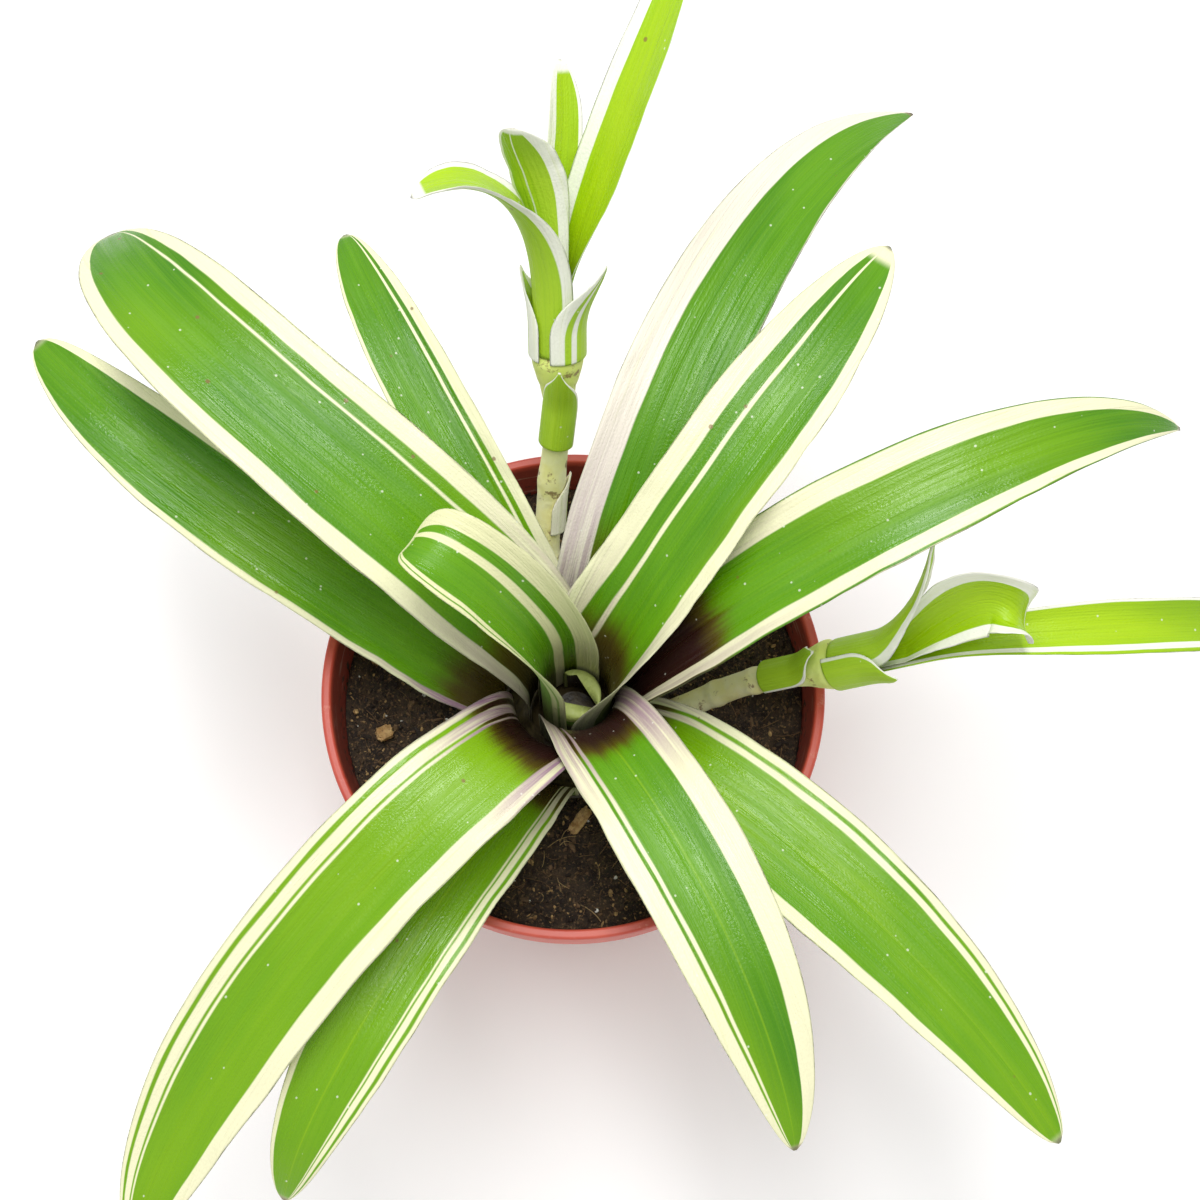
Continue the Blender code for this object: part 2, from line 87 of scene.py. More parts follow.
# %% A node tree and its wires
def find_socket(sockets, key):
    """A socket by index, by identifier or by name."""
    if isinstance(key, int):
        return sockets[key]
    for socket in sockets:
        if socket.identifier == key:
            return socket
    return sockets[key]


class Tree:
    """A node tree whose nodes all come from one method."""

    def __init__(self, tree):
        self.tree = tree

    def node(self, kind, settings=None, inputs=None, output=0):
        made = self.tree.nodes.new(kind)
        for key, value in (settings or {}).items():
            if key == "stops":
                set_stops(made.color_ramp, value)
            else:
                setattr(made, key, value)
        for key, value in (inputs or {}).items():
            socket = find_socket(made.inputs, key)
            if isinstance(value, Wire):
                self.tree.links.new(value.socket, socket)
            else:
                socket.default_value = value
        return Wire(self, find_socket(made.outputs, output)) if made.outputs else None


def set_stops(ramp, stops):
    """Places a colour ramp's stops as (position, colour)."""
    while len(ramp.elements) < len(stops):
        ramp.elements.new(0.5)
    for element, (position, colour) in zip(ramp.elements, stops):
        element.position = position
        element.color = (*colour, 1)


def is_vector(value):
    if isinstance(value, Wire):
        return value.socket.type == "VECTOR"
    return isinstance(value, (Vector, tuple))


class Wire:
    """An output socket that takes part in arithmetic."""

    def __init__(self, tree, socket):
        self.tree = tree
        self.socket = socket

    def other(self, output):
        """Another output of the same node."""
        return Wire(self.tree, find_socket(self.socket.node.outputs, output))

    def math(self, operation, first, second=None, third=None):
        vector = is_vector(first) or is_vector(second)
        kind = "ShaderNodeVectorMath" if vector else "ShaderNodeMath"
        inputs = {}
        for index, value in enumerate((first, second, third)):
            if value is None:
                continue
            if vector and not isinstance(value, Wire) and not is_vector(value):
                value = (value, value, value)
            inputs[index] = tuple(value) if isinstance(value, Vector) else value
        output = "Value" if operation in ("DOT_PRODUCT", "LENGTH") or not vector else "Vector"
        return self.tree.node(kind, {"operation": operation}, inputs, output)

    def smooth(self, low, high):
        """0 below low, 1 above high, and a smooth step between them."""
        inputs = {"Value": self, "From Min": low, "From Max": high}
        settings = {"interpolation_type": "SMOOTHSTEP"}
        return self.tree.node("ShaderNodeMapRange", settings, inputs, "Result")


def operator(operation, swapped=False):
    """A method that adds the node for one operation. Swapped is for a number before the wire."""
    def method(self, *values):
        first = (*values, self) if swapped else (self, *values)
        return self.math(operation, *first)
    return method


for name, operation in {
    "__add__": "ADD", "__sub__": "SUBTRACT", "__mul__": "MULTIPLY", "__truediv__": "DIVIDE",
    "__pow__": "POWER", "max": "MAXIMUM", "abs": "ABSOLUTE", "sin": "SINE", "cos": "COSINE",
    "min": "MINIMUM", "dot": "DOT_PRODUCT", "cross": "CROSS_PRODUCT", "normalized": "NORMALIZE",
    "length": "LENGTH",
}.items():
    setattr(Wire, name, operator(operation))
for name, operation in {"__radd__": "ADD", "__rsub__": "SUBTRACT", "__rmul__": "MULTIPLY"}.items():
    setattr(Wire, name, operator(operation, swapped=True))


def blend(factor, first, second):
    """A colour between two colours."""
    colours = {}
    for key, value in (("A_Color", first), ("B_Color", second)):
        colours[key] = value if isinstance(value, Wire) else (*value, 1)
    settings = {"data_type": "RGBA", "clamp_factor": True}
    return factor.tree.node("ShaderNodeMix", settings, {"Factor_Float": factor, **colours}, "Result_Color")


def new_finish(name):
    """An empty material with its tree and its shader node."""
    made = bpy.data.materials.new(name)
    made.use_nodes = True
    return made, Tree(made.node_tree), made.node_tree.nodes["Principled BSDF"]


def put(tree, shader, values):
    """Sets or links the shader's own sockets."""
    for key, value in values.items():
        if isinstance(value, Wire):
            tree.tree.links.new(value.socket, shader.inputs[key])
        else:
            shader.inputs[key].default_value = (*value, 1) if isinstance(value, tuple) else value


print("sockets, wires and colours ready")

# %% [markdown]
# ## View, floor and light
#
# The plant is seen from above, at 71.5 degrees over the horizon, from less than half a metre. It
# stands on a plain white floor in even light: a white sky with one long soft lamp overhead, which
# draws the long silvery streaks on the leaves.

# %% Camera
VIEW_TARGET = Vector((0.0064, 0.0216, 0.105))
VIEW_ELEVATION = math.radians(71.5)
VIEW_DISTANCE = 0.455
LENS = 56.5


def link_new(name, data):
    """A new object in the scene that holds this data."""
    made = bpy.data.objects.new(name, data)
    bpy.context.collection.objects.link(made)
    return made


def add_camera():
    data = bpy.data.cameras.new("camera")
    data.lens = LENS
    data.sensor_width = 36
    data.clip_start = 0.01
    camera = link_new("camera", data)
    back = Vector((0, -math.cos(VIEW_ELEVATION), math.sin(VIEW_ELEVATION)))
    camera.location = VIEW_TARGET + back * VIEW_DISTANCE
    camera.rotation_euler = (math.pi / 2 - VIEW_ELEVATION, 0, 0)
    bpy.context.scene.camera = camera
    return camera


print("camera at", [round(x, 4) for x in add_camera().location])

# %% Floor, sky and lamp
FLOOR_HALF = 1.5
SKY_STRENGTH = 0.62
LAMP_POWER = 9.5
LAMP_WIDTH = 0.30
LAMP_LENGTH = 0.90
LAMP_PLACE = Vector((-0.06, 0.22, 1.15))
LAMP_AIM = Vector((0, 0, 0.12))
FLOOR_GLOW = 0.10
FLOOR_WHITE = (0.93, 0.93, 0.93)


def floor_finish():
    finish, tree, shader = new_finish("floor_white")
    put(tree, shader, {
        "Base Color": FLOOR_WHITE, "Roughness": 0.9, "Emission Color": (1.0, 1.0, 1.0),
        "Emission Strength": FLOOR_GLOW,
    })
    return finish


def add_floor():
    mesh = bpy.data.meshes.new("floor")
    s = FLOOR_HALF
    mesh.from_pydata([(-s, -s, 0), (s, -s, 0), (s, s, 0), (-s, s, 0)], [], [(0, 1, 2, 3)])
    floor = link_new("floor", mesh)
    mesh.materials.append(floor_finish())


def add_light():
    world = bpy.data.worlds.new("white_sky")
    world.use_nodes = True
    sky = world.node_tree.nodes["Background"]
    sky.inputs["Color"].default_value = (1, 1, 1, 1)
    sky.inputs["Strength"].default_value = SKY_STRENGTH
    bpy.context.scene.world = world
    data = bpy.data.lights.new("soft_lamp", "AREA")
    data.energy = LAMP_POWER
    data.shape = "RECTANGLE"
    data.size = LAMP_WIDTH
    data.size_y = LAMP_LENGTH
    lamp = link_new("soft_lamp", data)
    lamp.location = LAMP_PLACE
    lamp.rotation_euler = (LAMP_AIM - LAMP_PLACE).to_track_quat("-Z", "Y").to_euler()


add_floor()
add_light()
bpy.context.scene.view_settings.view_transform = "Standard"
print("sky", SKY_STRENGTH, "lamp", LAMP_POWER, "W")

# %% [markdown]
# ## Growing a piece with Geometry Nodes
#
# A tree of nodes is a recipe with named inputs. `new_recipe` makes an empty one and `grow` runs it
# once on a carrier object, turns what it made into a plain mesh and takes the modifier away, so
# that nothing is left to compute later.

# %% Recipes
def new_recipe(name, inputs):
    """A Geometry Nodes tree with named inputs: {name: socket type}. Returns it with its wires."""
    group = bpy.data.node_groups.new(name, "GeometryNodeTree")
    group.interface.new_socket("Geometry", in_out="OUTPUT", socket_type="NodeSocketGeometry")
    group.interface.new_socket("Geometry", in_out="INPUT", socket_type="NodeSocketGeometry")
    for label, kind in inputs.items():
        group.interface.new_socket(label, in_out="INPUT", socket_type="NodeSocket" + kind)
    tree = Tree(group)
    first = tree.node("NodeGroupInput")
    return tree, {label: first.other(label) for label in ["Geometry", *inputs]}


def finish_recipe(tree, geometry, surface):
    """Ends a recipe in real geometry with its material."""
    real = tree.node("GeometryNodeRealizeInstances", None, {0: geometry})
    painted = tree.node("GeometryNodeSetMaterial", None, {"Geometry": real, "Material": surface})
    tree.node("NodeGroupOutput", None, {"Geometry": painted})


def evaluated_mesh(piece):
    """A plain mesh of the piece with its modifiers run."""
    graph = bpy.context.evaluated_depsgraph_get()
    shaped = piece.evaluated_get(graph)
    return bpy.data.meshes.new_from_object(shaped, preserve_all_data_layers=True, depsgraph=graph)


def grow(name, tree, values, carrier_data=None):
    """Runs a recipe with these input values and returns a plain mesh object."""
    piece = link_new(name, carrier_data or bpy.data.meshes.new(name + "_carrier"))
    modifier = piece.modifiers.new("recipe", "NODES")
    modifier.node_group = tree.tree
    for socket in tree.tree.interface.items_tree:
        if socket.in_out == "INPUT" and socket.name in values:
            value = values[socket.name]
            modifier[socket.identifier] = tuple(value) if isinstance(value, Vector) else value
    mesh = evaluated_mesh(piece)
    mesh.name = name
    bpy.data.objects.remove(piece)
    return link_new(name, mesh)


def object_from(bm, name):
    """Makes an object of the edited mesh and frees it."""
    mesh = bpy.data.meshes.new(name)
    bm.to_mesh(mesh)
    bm.free()
    return link_new(name, mesh)


def settle(piece, *nodes, slot):
    """Hangs the piece on the root body and hides the nodes that it stands for. The slot is not used."""
    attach(piece, BODY)
    if nodes:
        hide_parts(*nodes)


# %% [markdown]
# ## The leaf recipe
#
# Every leaf here follows one rule. Its middle line runs straight up inside the rosette and then
# bends out along a cubic curve. Across that line the leaf is an arc: near the stem it wraps round
# the rosette as a sheath, and further out the arc opens into a shallow channel. The recipe starts
# from a flat grid. One half of the grid's columns makes the upper face and the other half the lower
# face, and the two meet in a thin edge. What makes it a grown thing is added on the way: edges that
# ripple, an outline that isn't quite even, and shallow flutes along the blade.

# %% The leaf recipe
LEAF_INPUTS = {
    "Foot": "Vector", "Start": "Vector", "Lift": "Vector", "Last": "Vector", "Tip": "Vector",
    "Left": "Vector", "Tube share": "Float", "Ring": "Float", "Wrap": "Float", "Cup": "Float",
    "Spread": "Float", "Width": "Float", "Taper": "Float", "Point": "Float", "Roll": "Float",
    "Thickness": "Float", "Ripple": "Float", "Length": "Float", "Seed": "Float",
    "Across": "Int", "Along": "Int", "Finish": "Material",
}
WIDEST_AT = 0.5
BLADE_NARROWING = 0.18
TIP_SHARPNESS = 2.2
TIP_HALF_WIDTH = 0.35 * MM
EDGE_FULLNESS = 0.38
LEAST_CURL = math.radians(4)
# Shares of the leaf over which its thickness grows from nothing, at the foot and at the tip.
FOOT_THINNING = 1 / 60
TIP_THINNING = 1 / 50
# Noise: waves along the blade, waves across it, and how strong it is.
OUTLINE_WAVES = (5, 0.6, 0.05)
RIPPLE_WAVES = (9, 0.9)
SWAY_WAVES = 3.2
SWAY_SHARE = 0.8
ROLL_DONE_AT = 0.5
FLUTES = 11.0
FLUTE_DEPTH = 0.030 * MM
CREASE_DEPTH = 0.14 * MM
CREASE_WIDTH = 0.07
WELD = 0.012 * MM


def noise_value(tree, x, y, z, detail=2.0):
    """Smooth noise from -1 to 1 at a point given by three numbers."""
    place = tree.node("ShaderNodeCombineXYZ", None, {0: x, 1: y, 2: z})
    inputs = {"Vector": place, "Scale": 1.0, "Detail": detail}
    return tree.node("ShaderNodeTexNoise", None, inputs, "Fac") * 2 - 1


def leaf_recipe():
    tree, g = new_recipe("leaf", LEAF_INPUTS)
    rows = {"Size X": 1.0, "Size Y": 1.0, "Vertices X": g["Across"], "Vertices Y": g["Along"]}
    grid = tree.node("GeometryNodeMeshGrid", None, rows, "Mesh")
    place = tree.node("ShaderNodeSeparateXYZ", None, {0: tree.node("GeometryNodeInputPosition")})
    column = place + 0.5
    share = place.other("Y") + 0.5
    # Columns run over the top from edge to edge and come back underneath.
    upper = column.smooth(0.4999, 0.5001) * -2 + 1
    across = 1 - (column * 4 - 2).abs()
    t = ((share - g["Tube share"]) / (1 - g["Tube share"])).max(0)
    s = 1 - t
    # Middle line: the straight tube first, and then the cubic curve.
    middle = g["Start"] * s**3 + g["Lift"] * (s * s * t * 3) + g["Last"] * (s * t * t * 3) + g["Tip"] * t**3
    middle = middle + (g["Foot"] - g["Start"]) * (1 - share / g["Tube share"]).max(0)
    rise = (g["Lift"] - g["Start"]) * (s * s) + (g["Last"] - g["Lift"]) * (s * t * 2)
    forward = (rise + (g["Tip"] - g["Last"]) * (t * t)).normalized()
    side = (g["Left"] - forward * g["Left"].dot(forward)).normalized()
    inward = forward.cross(side)
    turn = g["Roll"] * t.smooth(0, ROLL_DONE_AT)
    side, inward = side * turn.cos() + inward * turn.sin(), inward * turn.cos() - side * turn.sin()
    # Outline and curl.
    opened = (t / g["Spread"]).smooth(0, 1)
    tip = ((t - g["Taper"]) / (1 - g["Taper"])).max(0)
    rounding = (1 - tip**TIP_SHARPNESS).max(0) ** g["Point"]
    along_waves, across_waves, strength = OUTLINE_WAVES
    wave = noise_value(tree, t * along_waves, across * across_waves, g["Seed"])
    uneven = wave * strength * opened + 1
    body = 1 - ((t - WIDEST_AT) / WIDEST_AT) ** 2 * BLADE_NARROWING
    half = (g["Width"] * 0.5 * body * rounding * uneven).max(TIP_HALF_WIDTH)
    half = g["Ring"] * g["Wrap"] * (1 - opened) + half * opened
    curl = (g["Wrap"] * (1 - opened) + g["Cup"] * rounding * opened).max(LEAST_CURL)
    angle = curl * across
    radius = half / curl
    surface = middle + side * (radius * angle.sin()) + inward * (radius * (1 - angle.cos()))
    normal = inward * angle.cos() - side * angle.sin()
    # Thickness, rippled edges and flutes.
    ends = (share * (1 / FOOT_THINNING)).min(1) * ((1 - share) * (1 / TIP_THINNING)).min(1)
    thick = (1 - across * across).max(0) ** EDGE_FULLNESS * g["Thickness"] * 0.5 * ends
    edge = across.abs() ** 3 * opened * rounding
    wave = noise_value(tree, t * RIPPLE_WAVES[0], across * RIPPLE_WAVES[1] + 7, g["Seed"])
    ripple = wave * edge * g["Ripple"]
    flute = (across * (FLUTES * math.pi)).sin() * FLUTE_DEPTH * opened * rounding
    crease = (1 - across.abs().smooth(0, CREASE_WIDTH)) * opened * rounding * -CREASE_DEPTH
    wave = noise_value(tree, t * SWAY_WAVES, 3.0, g["Seed"] + 0.5)
    sway = wave * opened * g["Ripple"] * SWAY_SHARE
    offset = thick * upper + ripple + flute + crease + sway
    surface = surface + normal * offset
    # What the finish needs to know: how far across and along, which face, and real distances.
    length = g["Length"]
    blade = tree.node("ShaderNodeCombineXYZ", None, {0: across * half, 1: share * length, 2: g["Seed"]})
    for label, kind, value in (
        ("across", "FLOAT", across), ("along", "FLOAT", t), ("upper", "FLOAT", upper),
        ("blade", "FLOAT_VECTOR", blade),
    ):
        settings = {"data_type": kind, "domain": "POINT"}
        inputs = {"Geometry": grid, "Name": label, "Value": value}
        grid = tree.node("GeometryNodeStoreNamedAttribute", settings, inputs)
    shaped = tree.node("GeometryNodeSetPosition", None, {"Geometry": grid, "Position": surface})
    turned = tree.node("GeometryNodeFlipFaces", None, {0: shaped})
    welded = tree.node("GeometryNodeMergeByDistance", None, {"Geometry": turned, "Distance": WELD})
    smooth = tree.node("GeometryNodeSetShadeSmooth", None, {"Geometry": welded})
    finish_recipe(tree, smooth, g["Finish"])
    return tree


LEAF = leaf_recipe()
print("leaf recipe:", len(LEAF.tree.nodes), "nodes")

# %% [markdown]
# ## The finish of a leaf
#
# The leaves are green in the middle and cream at the edges, and thin lines of the other colour run
# inside the margins. Such stripes belong to the leaf, so they are laid out on its own `across`
# value, from -1 at one edge to 1 at the other. One colour ramp holds them: it starts cream and
# flips at each place in a short list. Noise that is stretched along the blade moves the lines
# a little, draws the fine veins, and breaks the gloss into long silvery streaks. Sheaths and
# the foot of each blade are stained purple-brown, which fades out along the blade.

# %% Helpers for finishes
def own_place(tree):
    """The place on the object itself, in metres."""
    return tree.node("ShaderNodeTexCoord", None, None, "Object")


def attribute(tree, name, output="Fac"):
    return tree.node("ShaderNodeAttribute", {"attribute_name": name}, None, output)


def grain(tree, place, stretch, detail=2.0, rough=0.5):
    """Noise from 0 to 1. The stretch is one scale, or one for each direction of the place."""
    stretch = Vector(stretch) if isinstance(stretch, tuple) else stretch
    inputs = {"Vector": place * stretch, "Scale": 1.0, "Detail": detail, "Roughness": rough}
    return tree.node("ShaderNodeTexNoise", None, inputs, "Fac")


def specks(tree, place, density, full, gone):
    """Small round spots: 1 inside one radius, 0 outside another, in shares of their spacing."""
    inputs = {"Vector": place * density, "Scale": 1.0}
    return 1 - tree.node("ShaderNodeTexVoronoi", None, inputs, "Distance").smooth(full, gone)


def bump(tree, height, distance, strength=1.0, below=None):
    inputs = {"Height": height, "Distance": distance, "Strength": strength}
    if below:
        inputs["Normal"] = below
    return tree.node("ShaderNodeBump", None, inputs)


# %% Stripes of a leaf
STRIPE_SOFTNESS = 0.012


def stripes(flips):
    """Stops of a ramp that starts at 1, for cream, and changes at each flip. Flips run from -1 to 1."""
    stops = [(0.0, (1, 1, 1))]
    cream = 1
    for flip in flips:
        middle = (flip + 1) / 2
        stops.append((middle - STRIPE_SOFTNESS / 2, (cream,) * 3))
        cream = 1 - cream
        stops.append((middle + STRIPE_SOFTNESS / 2, (cream,) * 3))
    return stops


# %% Colours of the plant
DEEP_GREEN = (0.036, 0.185, 0.001)
LEAF_GREEN = (0.118, 0.330, 0.001)
YELLOW_GREEN = (0.200, 0.410, 0.001)
LIME = (0.400, 0.620, 0.004)
CREAM = (0.870, 0.850, 0.560)
PINK_CREAM = (0.880, 0.820, 0.690)
WHITE_CREAM = (0.890, 0.890, 0.790)
GREEN_THREAD = (0.720, 0.780, 0.360)
STAIN = (0.026, 0.006, 0.005)
STAIN_EDGE = (0.105, 0.080, 0.004)
VIOLET = (0.300, 0.130, 0.280)
DRY_BROWN = (0.220, 0.110, 0.035)
FROM_BELOW = (0.260, 0.400, 0.120)
# How dense each grain is across and along the blade, per metre, and from leaf to leaf.
WANDER, FRAY = (30, 28, 1), (900, 60, 1)
DRIFT, PATCH = (34, 13, 1), (60, 22, 1)
STREAK, VEIN = (700, 14, 1), (2600, 30, 1)
GLOSS, DRYNESS = (420, 9, 1), (300, 300, 1)
DENT, RIDGE, POWDER = (110, 40, 1), (1100, 16, 1), (2200, 1500, 1)
SCARS, DUST_SPECKS = 85, 230


def leaf_finish(name, look, tube):
    """The finish of one leaf: look is its row of stripes and stains, tube its sheath's length."""
    finish, tree, shader = new_finish(name)
    across = attribute(tree, "across")
    along = attribute(tree, "along")
    upper = attribute(tree, "upper")
    blade = attribute(tree, "blade", "Vector")
    split = tree.node("ShaderNodeSeparateXYZ", None, {0: blade})
    from_neck = split.other("Y") - tube

    # The margins wander, and break up finely where cream meets green.
    wander = (grain(tree, blade, WANDER) - 0.5) * 0.09
    fray = (grain(tree, blade, FRAY) - 0.5) * 0.030
    place = (across + wander + fray) * 0.5 + 0.5
    settings = {"stops": stripes(look["flips"])}
    cream = tree.node("ShaderNodeValToRGB", settings, {"Fac": place}, "Color")
    pale_tip = (along + wander * 0.1).smooth(look["tip"], look["tip"] + 0.02)
    cream = cream.max(pale_tip)

    # The green: patches, long streaks and fine veins.
    patch = grain(tree, blade, PATCH, 3.0)
    drift = grain(tree, blade, DRIFT, 1.0)
    streak = grain(tree, blade, STREAK, 3.0, 0.6)
    vein = grain(tree, blade, VEIN, 2.0)
    fresh = patch.smooth(0.30, 0.72) * 0.55 + streak.smooth(0.3, 0.75) * 0.25
    fresh = fresh + (1 - across.abs()) * 0.30 + from_neck.smooth(0.12, 0.0) * look["young"]
    green = blend(fresh, look["green"], look["fresh"])
    green = blend(drift.smooth(0.50, 0.72) * 0.7, green, YELLOW_GREEN)
    green = blend((vein - 0.45) * 0.9, green, YELLOW_GREEN)
    middle = (1 - across.abs().smooth(0.0, 0.035)) * look["midline"]
    green = blend(middle, green, LIME)

    # The cream: faint green lines in it, and a blush at the neck.
    thread = streak.smooth(0.56, 0.78) * 0.5
    pale = blend(thread, look["cream"], GREEN_THREAD)
    reach = look["stain"][1] * MM
    blush = (1 - from_neck.smooth(reach * 0.55, reach * 1.5)) * streak.smooth(0.30, 0.60)
    blush = blush * look["blush"]
    pale = blend(blush, pale, VIOLET)
    colour = blend(cream, green, pale)

    # The stain of the neck and the sheath: full up to one distance, streaky, gone at another.
    full, gone = (distance * MM for distance in look["stain"])
    ragged = from_neck + (streak - 0.5) * (gone - full) * 0.35 + (patch - 0.5) * (gone - full) * 0.5
    stain = (1 - ragged.smooth(full, gone)) * look["stain_strength"]
    stain = stain * (1 - cream * 0.85)
    colour = blend(stain.smooth(0.0, 0.55), colour, STAIN_EDGE)
    colour = blend(stain.smooth(0.20, 0.95), colour, STAIN)

    # Dry bits at the tip, small scars, and a duller underside.
    dry = along.smooth(0.985, 1.0) * grain(tree, blade, DRYNESS).smooth(0.35, 0.6) * look["dry"]
    scar = specks(tree, blade, SCARS, 0.030, 0.055) * 0.75
    colour = blend(dry.max(scar), colour, DRY_BROWN)
    dust = specks(tree, blade, DUST_SPECKS, 0.045, 0.075) * 0.55
    colour = blend(dust, colour, WHITE_CREAM)
    below = (1 - upper) * 0.5
    colour = blend(below * look["below"], colour, FROM_BELOW)

    # Gloss: silvery streaks on top, duller underneath, and fine ridges with a powdery speckle.
    gloss = grain(tree, blade, GLOSS, 4.0, 0.65)
    rough = 0.47 - gloss.smooth(0.38, 0.60) * 0.24 + below * 0.16 + cream * 0.08
    normal = bump(tree, grain(tree, blade, DENT, 2.0), 1.6 * MM, 0.6)
    normal = bump(tree, grain(tree, blade, RIDGE, 3.0, 0.65), 0.35 * MM, 0.9, normal)
    normal = bump(tree, grain(tree, blade, POWDER, 1.0), 0.12 * MM, 0.8, normal)
    put(tree, shader, {
        "Base Color": colour, "Roughness": rough, "Normal": normal,
        "Specular IOR Level": 0.42,
    })
    return finish


# %% [markdown]
# ## The rosette
#
# Twelve leaves stand round one stem. The sheath of each is a tube inside the next one, and the
# young rolled leaf in the middle holds the water cup. Each row below is one leaf: the same plain
# values that shape its solid in the frame, and then how it is striped and stained. The grown leaf
# lies where its solid is, so it replaces that node.

# %% Leaf shapes
POT_HIGH = Vector(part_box("pot")[1])
SOIL_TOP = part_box("soil")[1][2]
STEM_LOW, STEM_HIGH = (Vector(corner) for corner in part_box("stem"))
STEM_RADIUS = (STEM_HIGH.x - STEM_LOW.x) / 2
ROSETTE_CENTRE = (STEM_LOW + STEM_HIGH) / 2
ROSETTE_CENTRE.z = 0
FIRST_RING = 6.0
RING_STEP = 1.2
STEM_CROWN_HEIGHT = 9
STEM_SLOPE = 0.6
LEAF_THICKNESS = 0.7
HANDLE_SHARE = 0.42
LENGTH_SHARE = 1.15

# Order counts the sheaths outwards. Heading is the compass angle from +X. Tube is the straight
# part of the sheath, lift the pull of the bend above it, reach and tip the end's distance out and
# height over the soil, side its shift to the left and bow the sideways curve, all in mm. Droop is
# the tip's downward angle, roll the blade's turn, wrap and cup half the sheath's and the blade's
# curl in degrees. Spread is the share of the blade over which one becomes the other, taper where
# the tip starts to narrow, and point is 0.5 for a round tip.
LEAF_COLUMNS = (
    "order", "heading", "tube", "lift", "reach", "tip", "droop", "side", "bow", "roll",
    "width", "wrap", "cup", "spread", "taper", "point",
)
ROSETTE_LEAVES = {
    "leaf_rolled_young": (0, -34, 12, 0.8, 6.1, 24, -85, 0, 0, 0, 30, 150, 150, 1.0, 0.88, 0.3),
    "leaf_arched_young": (1, 146, 30, 25, 39, 72, 66, 3, -1, 0, 20, 110, 35, 0.70, 0.68, 0.5),
    "leaf_northeast_upper": (2, 39, 12, 38, 112, 69, 18, 26, -16, -2, 26, 135, 22, 0.40, 0.62, 0.6),
    "leaf_south": (3, -69, 13, 42, 112, 35, 35, 7, 8, 1, 26, 80, 16, 0.35, 0.50, 0.6),
    "leaf_northwest": (4, 124, 13, 41, 148, 50, 43, 32, 9, 4, 33, 70, 16, 0.30, 0.72, 0.5),
    "leaf_east": (5, 8, 15, 36, 141, 58, 49, 32, -2, 10, 25, 60, 18, 0.30, 0.40, 0.8),
    "leaf_northeast_long": (6, 71, 6, 62, 160, 45, 41, -32, 36, 11, 25, 50, 18, 0.28, 0.45, 0.7),
    "leaf_southwest_broad": (7, -120, 16, 55, 152, 8, 23, -23, -11, -2, 28, 60, 14, 0.28, 0.68, 0.5),
    "leaf_southeast": (8, -35, 4, 32, 144, 18, 21, -21, 21, -3, 28, 44, 14, 0.28, 0.55, 0.55),
    "leaf_north_small": (9, 106, 8, 24, 122, 39, 25, 23, -3, 0, 18, 34, 18, 0.28, 0.66, 0.5),
    "leaf_west": (10, 159, 4, 8, 150, 37, 13, -32, 30, 0, 26, 34, 14, 0.28, 0.66, 0.5),
    "leaf_southwest_lower": (11, -115, 7, 21, 128, 5, 53, -11, -3, 0, 22, 28, 14, 0.28, 0.60, 0.6),
}
print(len(ROSETTE_LEAVES), "rosette leaves round", [round(x, 4) for x in ROSETTE_CENTRE])

